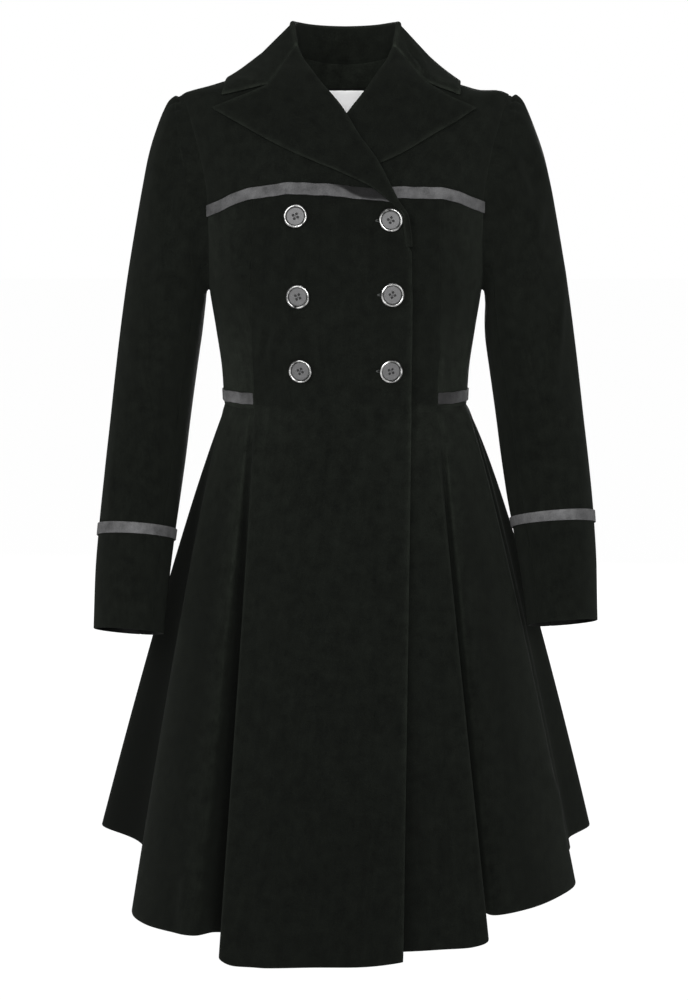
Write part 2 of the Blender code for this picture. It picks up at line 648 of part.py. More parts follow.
def collar_table(along):
    """Collar sizes at places from -1, the right gorge, over 0, the centre back, to 1, the left gorge."""
    gorge_z = LAPEL_ROLL[0][1]
    gorge_angle = math.degrees(float(angle_at(LAPEL_ROLL[0][0], gorge_z)))
    point_x, point_z = COLLAR_POINT["right"]
    point_angle = math.degrees(float(angle_at(point_x, point_z)))
    rows = np.array(COLLAR + ((gorge_angle, gorge_z, point_angle, point_z),))
    shape = through(np.linspace(0, 1, len(rows)), rows, np.abs(along))
    roll_angle, roll_z, edge_a, edge_z = np.moveaxis(shape, -1, 0)
    turn = np.where(along < 0, -1.0, 1.0)
    return np.radians(roll_angle) * turn, roll_z, np.radians(edge_a) * turn, edge_z


def collar():
    along = np.linspace(-1, 1, 25)
    share, _, _ = gorge("right", COLLAR_POINT["right"])
    roll_angle, roll_z, edge_a, edge_z = collar_table(along)
    edge = ring(roll_angle, roll_z)
    normal = outward(roll_angle, roll_z)
    outer = body(edge_a, edge_z, COLLAR_OUT)
    start = edge + normal * 2 * ROLL_RADIUS
    flat = start[:, None] + (outer - start)[:, None] * share[None, :, None]
    for end, side in ((0, "right"), (-1, "left")):
        _, x, z = gorge(side, COLLAR_POINT[side])
        change = on_front(side, x, z, LAPEL_OUT) - flat[end]
        weight = np.clip(along * SIDE[side], 0, 1) ** 4
        flat += change[None] * weight[:, None, None]
    folded = rolled(edge, normal, flat, ROLL_RADIUS, FOLD_GAP, 0.0)
    seam_z = stand_top(roll_angle, roll_z)
    rise = np.linspace(0, 1, 4)[:-1]
    inner = ring(roll_angle[:, None], lerp(seam_z[:, None], roll_z[:, None], rise[None]))
    grid = np.concatenate([inner, folded], axis=1)
    wall("collar", trimmed(grid, top=PLEAT_GAP, bottom=PLEAT_GAP), velvet)


def stand_top(angle, roll_z):
    """Height of the seam between the stand and the collar."""
    return lerp(neck_z(angle), roll_z, STAND_SHARE)


def collar_stand():
    along = np.linspace(-1, 1, 25)
    roll_angle, roll_z, _, _ = collar_table(along)
    up = np.linspace(0, 1, 4)
    z = lerp(neck_z(roll_angle)[:, None], stand_top(roll_angle, roll_z)[:, None], up[None])
    wall("collar_stand", trimmed(ring(roll_angle[:, None], z), left=PLEAT_GAP), velvet)


def yoke_trim(side):
    """Ribbon over the yoke seam, from the front edge to the armhole."""
    arm = ring(edge_angle(-0.168, True), -0.168)[0] - 0.0015
    x = np.linspace(YOKE_TRIM_START, arm, 29)
    middle = column(YOKE_SEAM[side], 0, 1, x)
    z = middle + np.array([[0.5], [-0.5]]) * RIBBON_WIDTH
    limit = np.abs(ring(edge_angle(z, True), z)[..., 0]) - 0.0010
    wall("yoke_trim_" + side, on_front(side, np.minimum(x, limit), z, RIBBON_OUT + SEAM), ribbon, RIBBON)


def waist_trim():
    """Ribbon just above the waist seam, from princess seam to princess seam round the back."""
    start = math.degrees(float(angle_at(PRINCESS[-1][1], WAIST_Z)))
    angle = np.radians(np.linspace(start + 0.3, 360 - start - 0.3, 71))
    z = WAIST_Z + WAIST_TRIM_UP + np.array([[1.0], [0.0]]) * RIBBON_WIDTH
    wall("waist_trim", body(angle[None], z, RIBBON_OUT), ribbon, RIBBON)


def label():
    angle = math.pi + np.radians(np.linspace(-1, 1, 7)) * LABEL_HALF_ANGLE
    z = LABEL_TOP - np.linspace(0, 1, 4)[:, None] * LABEL_HEIGHT
    inside = -(CLOTH / 2 + 2 * SEAM + LABEL_THICKNESS / 2)
    wall("label", body(angle[None], z, inside), satin, LABEL_THICKNESS)


def button_mesh():
    """A turned button: raised rounded rim, sunk face, flat back."""
    r, h = BUTTON_RADIUS, BUTTON_HEIGHT
    sunk = ((0, 0.55 * h), (0.70 * r, 0.55 * h))
    rim = ((0.80 * r, h), (0.92 * r, h), (r, 0.6 * h), (0.93 * r, 0))
    profile = (*sunk, *rim, (0, 0))
    mesh = bpy.data.meshes.new("button")
    mesh.from_pydata([(x, 0, z) for x, z in profile], [(i, i + 1) for i in range(len(profile) - 1)], [])
    mesh.materials.append(metal)
    return mesh


def buttons():
    mesh = button_mesh()
    for number, (x, z, clear) in enumerate(BUTTONS, start=1):
        piece = bpy.data.objects.new(f"button_{number}", mesh)
        coat.objects.link(piece)
        turn = piece.modifiers.new("turned", "SCREW")
        turn.steps = turn.render_steps = BUTTON_SIDES
        turn.use_merge_vertices = True
        turn.merge_threshold = 0.00005
        face = outward(angle_at(np.array(x), np.array(z)), np.array(z))
        piece.location = on_front("right", -x, z) + face * (CLOTH / 2 + clear)
        piece.rotation_mode = "QUATERNION"
        piece.rotation_quaternion = Vector(face).to_track_quat("Z", "Y")


for old in list(bpy.data.objects):
    bpy.data.objects.remove(old)
coat = bpy.data.collections.new("velvet_coat")
bpy.context.scene.collection.children.link(coat)
velvet = material("black_velvet", (0.010, 0.011, 0.010), 0.85)
ribbon = material("grey_velvet_ribbon", (0.090, 0.090, 0.092), 0.80)
metal = material("silver_button", (0.62, 0.62, 0.63), 0.30, 0.6)
satin = material("white_label", (0.80, 0.80, 0.80), 0.45)

for wearer_side in ("right", "left"):
    yoke(wearer_side)
    side_front(wearer_side)
    sleeve_pieces(wearer_side)
    lapel(wearer_side)
    yoke_trim(wearer_side)
centre_front("right", "over_edge", "over_under")
centre_front("left", "under_under", "under_edge")
skirt_panel("side_skirt_right", "over_under", "right_turn")
skirt_panel("back_skirt", "right_turn", "left_turn")
skirt_panel("side_skirt_left", "left_turn", "under_under")
back_bodice()
collar()
collar_stand()
waist_trim()
label()
buttons()
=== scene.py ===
# %% [markdown]
# # Dressing a velvet swing coat
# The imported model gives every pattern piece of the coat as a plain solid. This lesson puts real cloth in
# its place: thin curved shells, soft creases, velvet pile, ribbon, polished buttons and a satin label.

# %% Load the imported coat
import math

import bpy
import numpy as np
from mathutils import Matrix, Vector


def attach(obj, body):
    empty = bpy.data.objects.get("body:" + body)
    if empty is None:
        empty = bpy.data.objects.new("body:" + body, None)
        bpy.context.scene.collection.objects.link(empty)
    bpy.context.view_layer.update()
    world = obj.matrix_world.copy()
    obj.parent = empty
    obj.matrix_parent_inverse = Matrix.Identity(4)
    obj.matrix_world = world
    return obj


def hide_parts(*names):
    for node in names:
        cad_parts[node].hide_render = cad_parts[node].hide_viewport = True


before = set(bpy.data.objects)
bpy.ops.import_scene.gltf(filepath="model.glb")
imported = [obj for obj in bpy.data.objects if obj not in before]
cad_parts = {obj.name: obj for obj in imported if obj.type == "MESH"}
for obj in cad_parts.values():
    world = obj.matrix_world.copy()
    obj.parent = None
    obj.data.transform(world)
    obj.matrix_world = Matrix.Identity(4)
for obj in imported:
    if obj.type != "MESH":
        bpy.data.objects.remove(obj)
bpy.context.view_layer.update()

# %% [markdown]
# ## Camera and studio
# The coat was photographed from the front, a little above its middle, with a long lens. A camera far away
# with a long lens keeps the skirt from looking swollen. White surroundings and large soft lamps suit dark
# velvet: the pile shows only where light skims over it.

# %% Camera
CAMERA_PLACE = (-0.00165, -2.4, -0.190)
CAMERA_PITCH = 6.984
CAMERA_LENS = 79.13
SENSOR = 36.0


def link(item):
    bpy.context.scene.collection.objects.link(item)
    return item


view = bpy.data.cameras.new("front_view")
view.sensor_width = SENSOR
view.lens = CAMERA_LENS
camera = link(bpy.data.objects.new("front_view", view))
camera.location = CAMERA_PLACE
camera.rotation_euler = (math.radians(90 - CAMERA_PITCH), 0, 0)
bpy.context.scene.camera = camera
bpy.context.scene.view_settings.view_transform = "Standard"
print("camera at", CAMERA_PLACE, "looking down", CAMERA_PITCH, "degrees")

# %% Lamps and surroundings
# name, place, aimed at, width, watts
LAMPS = (
    ("key_left", (-1.5, -3.0, 1.0), (0, 0, -0.45), 1.5, 48),
    ("fill_right", (2.4, -2.6, 0.5), (0, 0, -0.50), 1.8, 22),
    ("front", (0.1, -3.6, 0.3), (0, 0, -0.40), 1.4, 118),
    ("top", (0, -0.3, 2.6), (0, 0, -0.40), 1.6, 6),
    ("behind", (0.4, 3.4, 0.2), (0, 0, -0.45), 1.8, 120),
)
SURROUND = 0.22


def lamp(name, place, aim, width, watts):
    light = bpy.data.lights.new(name, "AREA")
    light.shape = "DISK"
    light.size = width
    light.energy = watts
    made = link(bpy.data.objects.new(name, light))
    made.location = place
    made.rotation_euler = (Vector(aim) - Vector(place)).to_track_quat("-Z", "Y").to_euler()


def add(tree, kind, inputs=None, **settings):
    """One shader node: inputs are numbers or other nodes' sockets, settings are the node's own choices."""
    made = tree.nodes.new(kind)
    for name, value in settings.items():
        setattr(made, name, value)
    for name, value in (inputs or {}).items():
        if isinstance(value, bpy.types.NodeSocket):
            tree.links.new(value, made.inputs[name])
        else:
            made.inputs[name].default_value = value
    return made


def studio_world():
    """White where the camera looks past the coat, and a soft grey for all other light."""
    world = bpy.data.worlds.new("studio")
    world.use_nodes = True
    tree = world.node_tree
    tree.nodes.clear()
    seen = add(tree, "ShaderNodeBackground", {"Color": (1, 1, 1, 1), "Strength": 1.0})
    soft = add(tree, "ShaderNodeBackground", {"Color": (1, 1, 1, 1), "Strength": SURROUND})
    path = add(tree, "ShaderNodeLightPath")
    mixed = add(tree, "ShaderNodeMixShader", {0: path.outputs["Is Camera Ray"]})
    tree.links.new(soft.outputs[0], mixed.inputs[1])
    tree.links.new(seen.outputs[0], mixed.inputs[2])
    end = add(tree, "ShaderNodeOutputWorld")
    tree.links.new(mixed.outputs[0], end.inputs[0])
    bpy.context.scene.world = world


for row in LAMPS:
    lamp(*row)
studio_world()
print(len(LAMPS), "lamps and a white studio")

# %% Floor
FLOOR_Z = -1.10
FLOOR_REACH = 40.0


def maths(tree, operation, a, b):
    return add(tree, "ShaderNodeMath", {0: a, 1: b}, operation=operation).outputs[0]


def set_sockets(shader, values):
    """Constants of a shader, by the names of its sockets."""
    for name, value in values.items():
        shader.inputs[name].default_value = value


def new_material(name):
    """An empty material with a Principled shader joined to its output."""
    made = bpy.data.materials.new(name)
    made.use_nodes = True
    tree = made.node_tree
    return made, tree, tree.nodes["Principled BSDF"]


def pale_floor():
    """A wide flat square under the coat, painted white."""
    side = np.array([-1.0, 1.0]) * FLOOR_REACH
    x, y = np.meshgrid(side, side)
    points = np.stack([x, y, np.full_like(x, FLOOR_Z)], -1).reshape(-1, 3)
    mesh = bpy.data.meshes.new("floor")
    mesh.from_pydata(points.tolist(), [], [(0, 1, 3, 2)])
    paint, tree, shader = new_material("white_floor")
    set_sockets(shader, {"Base Color": (0.80, 0.80, 0.80, 1), "Roughness": 0.9})
    glow = add(tree, "ShaderNodeEmission", {"Color": (1, 1, 1, 1), "Strength": 1.06})
    seen = maths(tree, "MULTIPLY", add(tree, "ShaderNodeLightPath").outputs["Is Camera Ray"], 0.92)
    mixed = add(tree, "ShaderNodeMixShader", {0: seen})
    tree.links.new(shader.outputs[0], mixed.inputs[1])
    tree.links.new(glow.outputs[0], mixed.inputs[2])
    tree.links.new(mixed.outputs[0], tree.nodes["Material Output"].inputs["Surface"])
    mesh.materials.append(paint)
    link(bpy.data.objects.new("floor", mesh))


pale_floor()
print("floor at", FLOOR_Z, "m")

# %% [markdown]
# ## The worn body
# A coat takes its shape from the person inside. The body is a stack of rounded-square rings, one row of
# numbers for each height, with a smooth curve drawn through the rows. Every pattern piece above the waist
# is a patch of this one surface, so neighbours meet without fitting.

# %% Sizes of cloth and body
CLOTH = 0.0018
PACKED_HALF = 0.0010
RIBBON = 0.0010
SATIN = 0.0006
SEAM = 0.0003
RIBBON_WIDTH = 0.0112
RIBBON_OUT = PACKED_HALF + SEAM + RIBBON / 2
SIDE = {"right": -1.0, "left": 1.0}

# height, half width, front depth, back depth, squareness
BODY_RINGS = (
    (0.036, 0.0530, 0.0360, 0.0600, 2.00),
    (0.012, 0.0585, 0.0395, 0.0640, 2.00),
    (-0.013, 0.0780, 0.0460, 0.0700, 2.05),
    (-0.0245, 0.1070, 0.0545, 0.0750, 2.15),
    (-0.0355, 0.1420, 0.0615, 0.0800, 2.30),
    (-0.0465, 0.1755, 0.0675, 0.0860, 2.40),
    (-0.075, 0.1775, 0.0800, 0.0945, 2.55),
    (-0.110, 0.1715, 0.0940, 0.1010, 2.60),
    (-0.150, 0.1600, 0.1090, 0.1050, 2.60),
    (-0.200, 0.1525, 0.1210, 0.1040, 2.50),
    (-0.252, 0.1465, 0.1240, 0.1000, 2.35),
    (-0.297, 0.1395, 0.1170, 0.0960, 2.25),
    (-0.341, 0.1335, 0.1095, 0.0920, 2.20),
    (-0.3775, 0.1315, 0.1060, 0.0910, 2.20),
)
SHOULDER_Z, ARMPIT_Z, WAIST_Z = -0.0465, -0.252, -0.3775
NECK_SIDE_Z, NECK_BACK_Z = -0.013, -0.033
LEFT_DROP = 0.0055
DROP_STARTS, DROP_FULL, DROP_FADES, DROP_ENDS = 0.045, 0.105, 0.138, 0.167
DROP_TOP_Z, DROP_END_Z = -0.040, -0.075
ARMHOLE_FRONT, ARMHOLE_BACK = 0.058, 0.060
ARMHOLE_MIDDLE, ARMHOLE_HALF = (SHOULDER_Z + ARMPIT_Z) / 2, (SHOULDER_Z - ARMPIT_Z) / 2


def joined(x, y, slope, at):
    """Cubic pieces between knots, each with the values and slopes of its two ends."""
    i = np.clip(np.searchsorted(x, at) - 1, 0, len(x) - 2)
    h = np.diff(x)[i][..., None]
    t = np.clip((at[..., None] - x[i][..., None]) / h, 0, 1)
    start = y[i] * (1 + 2 * t) * (1 - t) ** 2 + slope[i] * h * t * (1 - t) ** 2
    return start + y[i + 1] * t**2 * (3 - 2 * t) + slope[i + 1] * h * t**2 * (t - 1)


def through(knots, values, at):
    """Smooth curve through a table's rows that never swings past them.

    Each slope is the harmonic mean of its two neighbouring rises, or level where they change sign.
    """
    x = np.asarray(knots, float)
    y = np.asarray(values, float).reshape(len(x), -1)
    if x[0] > x[-1]:
        x, y = x[::-1], y[::-1]
    step = np.diff(x)[:, None]
    rise = np.diff(y, axis=0) / step
    same = rise[:-1] * rise[1:] > 0
    slope = np.zeros_like(y)
    slope[1:-1] = np.where(same, 2 * rise[:-1] * rise[1:] / np.where(same, rise[:-1] + rise[1:], 1), 0)
    slope[0], slope[-1] = rise[0], rise[-1]
    return joined(x, y, slope, np.asarray(at, float))


def column(table, key, value, at):
    """One column of a table against another, as a smooth curve."""
    rows = np.array(table, float)
    return through(rows[:, key], rows[:, value], at)[..., 0]


def ease(t):
    """0 to 1 with level ends: 3 t squared less 2 t cubed."""
    t = np.clip(t, 0, 1)
    return t * t * (3 - 2 * t)


def unit(v):
    return v / np.maximum(np.linalg.norm(v, axis=-1, keepdims=True), 1e-9)


def lerp(a, b, t):
    return a + (b - a) * t


def ring_sizes(z):
    """Half width, front depth, back depth and squareness of the body at each height."""
    rows = np.array(BODY_RINGS)
    return np.moveaxis(through(rows[:, 0], rows[:, 1:], z), -1, 0)


def ring(angle, z):
    """Body surface: x is half width times sin to the power 2 / squareness, y the same with cos and depth.

    Angle 0 is the front and a quarter turn is the wearer's left side.
    """
    angle, z = np.broadcast_arrays(np.asarray(angle, float), np.asarray(z, float))
    half, front, back, square = ring_sizes(z)
    s, c = np.sin(angle), np.cos(angle)
    depth = np.where(c > 0, front, back)
    x = half * np.sign(s) * np.abs(s) ** (2 / square)
    y = -depth * np.sign(c) * np.abs(c) ** (2 / square)
    return np.stack([x, y, z], axis=-1)


def outward(angle, z):
    """Outward direction of the body: the cross product of a step round it and a step up it."""
    turn, lift = 0.02, 0.0008
    along = ring(angle + turn, z) - ring(angle - turn, z)
    up = ring(angle, z + lift) - ring(angle, z - lift)
    return unit(np.cross(along, up))


def body(angle, z, out=0.0):
    """Body points moved outward by a given distance."""
    out = np.broadcast_to(np.asarray(out, float), np.broadcast(angle, z).shape)
    return ring(angle, z) + outward(angle, z) * out[..., None]


def angle_at(x, z):
    """Angle of the front surface's point at this x."""
    half, _, _, square = ring_sizes(z)
    return np.sign(x) * np.arcsin(np.clip(np.abs(x) / half, 0, 1) ** (square / 2))


def edge_angle(z, front):
    """Angle of a panel's outer edge: the armhole is an upright oval on the body."""
    _, depth_f, depth_b, square = ring_sizes(z)
    depth, reach = (depth_f, ARMHOLE_FRONT) if front else (depth_b, ARMHOLE_BACK)
    y = reach * np.sqrt(np.clip(1 - ((z - ARMHOLE_MIDDLE) / ARMHOLE_HALF) ** 2, 0, 1))
    away = np.arccos(np.clip(y / depth, 0, 1) ** (square / 2))
    return away if front else math.pi - away


def neck_z(angle):
    """Height of the neck seam round the back and sides."""
    return lerp(NECK_SIDE_Z, NECK_BACK_Z, np.clip(-np.cos(angle), 0, 1) ** 2)


def lowered(grid):
    """Lets the left shoulder down between neck and sleeve head: the drop times three eased ramps."""
    x, z = grid[..., 0], grid[..., 2]
    inner = ease((x - DROP_STARTS) / (DROP_FULL - DROP_STARTS))
    outer = ease((DROP_ENDS - x) / (DROP_ENDS - DROP_FADES))
    high = ease((z - DROP_END_Z) / (DROP_TOP_Z - DROP_END_Z))
    return grid - np.array([0, 0, LEFT_DROP]) * (inner * outer * high)[..., None]


print("waist ring", [round(float(v), 4) for v in ring_sizes(np.array(WAIST_Z))])

# %% [markdown]
# ## From a grid of points to a cloth shell
# Cloth is a thin wall. Each piece starts as a grid of points and becomes a closed shell: a face side, a
# lining side and a half-round rim, as a turned edge has. Solidify could do it, but its rim is square. Two
# more steps come first: seams sink the cloth a little, and creases drawn from tables raise or lower it.

# %% Cloth helpers
RIM_STEPS = 4
SEAM_ROLL = 0.0034
DRAW_FADE = 0.0030
CREASE_GAIN = 1.6
FOLD_STEP, FOLD_FROM, FOLD_RUN = 0.0006, 55.0, 260.0


def walked(grid, axis):
    """Distance walked along the grid's lines, from their first point."""
    step = np.linalg.norm(np.diff(grid, axis=axis), axis=-1)
    return np.insert(np.cumsum(step, axis), 0, 0, axis)


def border_gaps(grid):
    """Distance of every point from the top, bottom, left and right border, along the grid's lines."""
    down, across = walked(grid, 0), walked(grid, 1)
    return down, down[-1:] - down, across, across[:, -1:] - across


def steps_of(grid, closed=False):
    """Steps down and across the grid at every point."""
    if closed:
        wide = np.concatenate([grid[:, -1:], grid, grid[:, :1]], axis=1)
        return np.gradient(grid, axis=0), (wide[:, 2:] - wide[:, :-2]) / 2
    return np.gradient(grid, axis=0), np.gradient(grid, axis=1)


def faced(grid, centre, closed=False):
    """Normals of the grid on its outer side, the side away from the centre line."""
    down, across = steps_of(grid, closed)
    normal = unit(np.cross(down, across))
    return normal * np.sign(np.sum(normal * (grid - centre)))


def axis_line(grid):
    """The upright line through the coat's middle, at each point's height."""
    return grid * np.array([0, 0, 1.0])


def sewn(grid, centre, top=0.0, bottom=0.0, left=0.0, right=0.0):
    """Sinks the cloth towards sewn borders: depth times exp(-(distance / roll) squared)."""
    gaps = border_gaps(grid)
    sink = sum(d * np.exp(-((g / SEAM_ROLL) ** 2)) for d, g in zip((top, bottom, left, right), gaps))
    return grid - faced(grid, centre) * sink[..., None]


def drawn_in(grid, top=0.0, bottom=0.0, left=0.0, right=0.0):
    """Shortens the grid at its borders: points slide inward by amount times exp(-distance / fade)."""
    gaps = border_gaps(grid)
    down, across = (unit(step) for step in steps_of(grid))
    moves = (down, -down, across, -across)
    slide = [a * np.exp(-g / DRAW_FADE) for a, g in zip((top, bottom, left, right), gaps)]
    return grid + sum(m * s[..., None] for m, s in zip(moves, slide))


def creased(grid, centre, table, facing):
    """Soft ridges (positive) and troughs (negative) drawn on the coat as seen from the front or the back.

    Each row bends through three (x, z) points. Height falls as exp(-(gap / half width) squared) across it
    and as sin(pi t) to the power 0.7 along it, and only cloth that faces the viewer takes part.
    """
    normal = faced(grid, centre)
    seen = ease(normal[..., 1] * facing / 0.4)
    t = np.linspace(0, 1, 81)
    lift = np.zeros(grid.shape[:2])
    for x0, z0, x1, z1, x2, z2, width, height in table:
        a, b, c = np.array([[x0, z0], [x1, z1], [x2, z2]])
        bend = 2 * b - (a + c) / 2
        line = ((1 - t) ** 2)[:, None] * a + (2 * t * (1 - t))[:, None] * bend + (t**2)[:, None] * c
        gap = np.sum((grid[..., None, ::2] - line) ** 2, axis=-1)
        lift += CREASE_GAIN * height * np.max(np.exp(-gap / width**2) * np.sin(math.pi * t) ** 0.7, axis=-1)
    return grid + normal * (lift * seen)[..., None]


def tight_folds(grid, normal):
    """0 on flat cloth, 1 on a fold pressed outward.

    The bend is the turn of direction per metre, taken against the normal.
    """
    most = np.zeros(grid.shape[:2])
    for axis in (0, 1):
        step = np.diff(grid, axis=axis)
        size = np.linalg.norm(step, axis=-1)
        way = step / np.maximum(size, 1e-9)[..., None]
        turn = np.diff(way, axis=axis)
        inner = (slice(1, -1), slice(None)) if axis == 0 else (slice(None), slice(1, -1))
        near = (size[1:] + size[:-1]) / 2 if axis == 0 else (size[:, 1:] + size[:, :-1]) / 2
        bend = -np.sum(turn * normal[inner], axis=-1) / np.maximum(near, FOLD_STEP)
        most[inner] = np.maximum(most[inner], bend)
    return ease((most - FOLD_FROM) / FOLD_RUN)


print("cloth", CLOTH * 1000, "mm thick with a half-round rim")

# %% Shell maker
# One number per point of painted light and shade, which the pile group multiplies into the colour.
PILE_AND_PAINTED_LIGHT = "pile_and_painted_light"


def quads(number):
    """Four-cornered faces of a grid of point numbers, turned towards the cross product of down and across."""
    corners = (number[:-1, :-1], number[1:, :-1], number[1:, 1:], number[:-1, 1:])
    return np.stack(corners, axis=-1).reshape(-1, 4)


def rounds(number, closed):
    """The grid's borders as lines of point numbers that end where they start."""
    if closed:
        return [number[0], number[-1][::-1]]
    line = (number[0, :-1], number[:-1, -1], number[-1, :0:-1], number[:0:-1, 0], number[0, :1])
    return [np.concatenate(line)]


def cloth_shell(name, grid, thick, looks, centre, light=1.0, edge_light=1.2, closed=False):
    """A closed wall on a grid.

    Face and lining sides lie half the thickness along the normal. The rim is a half circle round each
    border point, from the face over the outward tangent to the lining. A light attribute on the points
    carries painted light and shade: painted shadows, painted sheen and highlights, and some pile parting
    at folds and edges. The rim takes it times edge_light and the lining side takes 1. The UV map measures
    the cloth in metres.
    """
    light = np.broadcast_to(np.asarray(light, float), grid.shape[:2])
    down, across = steps_of(grid, closed)
    if np.sum(np.cross(down, across) * (grid - centre)) < 0:
        grid, light = grid[:, ::-1], light[:, ::-1]
        down, across = steps_of(grid, closed)
    rows, columns = grid.shape[:2]
    normal = unit(np.cross(down, across))
    away = np.zeros_like(grid)
    away[0] -= unit(down[0])
    away[-1] += unit(down[-1])
    if not closed:
        away[:, 0] -= unit(across[:, 0])
        away[:, -1] += unit(across[:, -1])
    away = unit(away - normal * np.sum(away * normal, axis=-1, keepdims=True))

    number = np.arange(rows * columns).reshape(rows, columns)
    wide = np.concatenate([number, number[:, :1]], axis=1) if closed else number
    marks = np.arange(wide.size).reshape(wide.shape)
    flat = np.concatenate([grid, grid[:, :1]], axis=1) if closed else grid
    chart = np.stack([walked(flat, 1), -walked(flat, 0)], axis=-1).reshape(-1, 2)

    count = rows * columns
    flat_points, flat_normals, flat_away = (v.reshape(-1, 3) for v in (grid, normal, away))
    points = [flat_points + flat_normals * thick / 2, flat_points - flat_normals * thick / 2]
    lights = [light.reshape(-1), np.ones(count)]
    faces, charts = [quads(wide), quads(wide + count)[:, ::-1]], [quads(marks), quads(marks)[:, ::-1]]
    bends = np.linspace(0, math.pi, RIM_STEPS + 1)[1:-1]
    start = 2 * count
    for line, mark in zip(rounds(wide, closed), rounds(marks, closed)):
        own, size = line[:-1], len(line) - 1
        turn = np.arange(size + 1) % size
        strip = [line]
        for bend in bends:
            out = flat_normals[own] * math.cos(bend) + flat_away[own] * math.sin(bend)
            points.append(flat_points[own] + out * thick / 2)
            # rim points: the painted light times edge_light, a painted highlight on velvet's turned edges
            lights.append(light.reshape(-1)[own] * edge_light)
            strip.append(start + turn)
            start += size
        strip.append(line + count)
        for near, far in zip(strip[:-1], strip[1:]):
            faces.append(np.stack([near[:-1], near[1:], far[1:], far[:-1]], axis=-1))
            charts.append(np.stack([mark[:-1], mark[1:], mark[1:], mark[:-1]], axis=-1))

    mesh = bpy.data.meshes.new(name)
    faces_all = np.concatenate(faces)
    mesh.from_pydata(np.concatenate(points).tolist(), [], faces_all.tolist())
    layer = mesh.uv_layers.new(name="cloth")
    layer.data.foreach_set("uv", chart[np.concatenate(charts).reshape(-1)].astype(np.float32).reshape(-1))
    pile = mesh.attributes.new(PILE_AND_PAINTED_LIGHT, "FLOAT", "POINT")
    pile.data.foreach_set("value", np.concatenate(lights).astype(np.float32))
    slots = np.zeros(len(faces_all), np.int32)
    slots[len(faces[0]):len(faces[0]) + len(faces[1])] = len(looks) - 1
    for look in looks:
        mesh.materials.append(look)
    mesh.polygons.foreach_set("material_index", slots)
    mesh.shade_smooth()
    return link(bpy.data.objects.new(name, mesh))


def settle(piece, node):
    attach(piece, "root")
    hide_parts(node)


# %% [markdown]
# ## Velvet, ribbon and satin
# Velvet is a forest of short upright threads. Seen straight on it swallows light; seen along the surface
# the thread tips shine, which is the shader's sheen. The pile also leans in small patches, so one node
# group makes grain, clouds and streaks for every pile cloth, and each material sets its own amounts.

# %% Pile node group


def place(tree, chart):
    """Where the shaded point lies: on the piece's Object axes or on its own UV map."""
    return add(tree, "ShaderNodeTexCoord").outputs[chart]


def scaled(tree, value, gain, base):
    """A value times a gain, plus a base."""
    return maths(tree, "ADD", maths(tree, "MULTIPLY", value, gain), base)


def noise(tree, vector, scale, detail):
    made = add(tree, "ShaderNodeTexNoise", {"Vector": vector, "Scale": scale, "Detail": detail})
    return made.outputs["Fac"]


def pile_group():
    """Shade is 1 plus each noise less its middle times its amount, all times the painted light and shade."""
    tree = bpy.data.node_groups.new("pile", "ShaderNodeTree")
    for name in ("Place", "Cloth"):
        tree.interface.new_socket(name, in_out="INPUT", socket_type="NodeSocketVector")
    for name in ("Light", "Grain", "Clouds", "Streaks"):
        tree.interface.new_socket(name, in_out="INPUT", socket_type="NodeSocketFloat")
    for name in ("Shade", "Height"):
        tree.interface.new_socket(name, in_out="OUTPUT", socket_type="NodeSocketFloat")
    given = add(tree, "NodeGroupInput").outputs
    grain = noise(tree, given["Place"], 780.0, 2.0)
    patch = noise(tree, given["Place"], 85.0, 3.0)
    cloud = noise(tree, given["Place"], 17.0, 3.0)
    long = add(tree, "ShaderNodeMapping", {"Vector": given["Cloth"], "Scale": (230.0, 14.0, 1.0)})
    streak = noise(tree, long.outputs[0], 1.0, 3.0)
    shade = 1.0
    for value, amount, share in ((grain, "Grain", 1.0), (patch, "Clouds", 1.6), (cloud, "Clouds", 0.45),
                                 (streak, "Streaks", 1.0)):
        swing = maths(tree, "MULTIPLY", maths(tree, "SUBTRACT", value, 0.5), given[amount])
        shade = maths(tree, "ADD", shade, maths(tree, "MULTIPLY", swing, 2 * share))
    # Light is the painted light and shade carried on the points
    shade = maths(tree, "MULTIPLY", shade, given["Light"])
    end = add(tree, "NodeGroupOutput")
    tree.links.new(shade, end.inputs["Shade"])
    tree.links.new(grain, end.inputs["Height"])
    return tree


def place_pile(tree, grain, clouds, streaks):
    """The pile group in a material, reading Object coordinates, the cloth's UV map and its painted light."""
    light = add(tree, "ShaderNodeAttribute", attribute_name=PILE_AND_PAINTED_LIGHT).outputs["Fac"]
    inputs = {"Place": place(tree, "Object"), "Cloth": place(tree, "UV"), "Light": light,
              "Grain": grain, "Clouds": clouds, "Streaks": streaks}
    group = add(tree, "ShaderNodeGroup", inputs, node_tree=PILE).outputs
    return group["Shade"], group["Height"]


def tinted(tree, shader, colour, shade):
    """Base colour made lighter or darker by a shade."""
    made = add(tree, "ShaderNodeVectorMath", {0: colour, "Scale": shade}, operation="SCALE")
    tree.links.new(made.outputs[0], shader.inputs["Base Color"])


def bumped(tree, shader, height, depth):
    bump = add(tree, "ShaderNodeBump", {"Height": height, "Strength": 0.5, "Distance": depth})
    tree.links.new(bump.outputs[0], shader.inputs["Normal"])


def set_sheen(shader, weight, roughness, tint):
    set_sockets(shader, {"Sheen Weight": weight, "Sheen Roughness": roughness, "Sheen Tint": (*tint, 1)})


PILE = pile_group()
print("pile group:", len(PILE.nodes), "nodes")

# %% Cloth materials


def black_velvet():
    made, tree, shader = new_material("black_velvet")
    shade, height = place_pile(tree, 0.95, 0.50, 0.32)
    tinted(tree, shader, (0.0026, 0.0031, 0.0024), shade)
    set_sockets(shader, {"Roughness": 0.92, "Specular IOR Level": 0.04})
    set_sheen(shader, 0.0155, 0.75, (0.88, 1.0, 0.85))
    bumped(tree, shader, height, 0.0004)
    return made


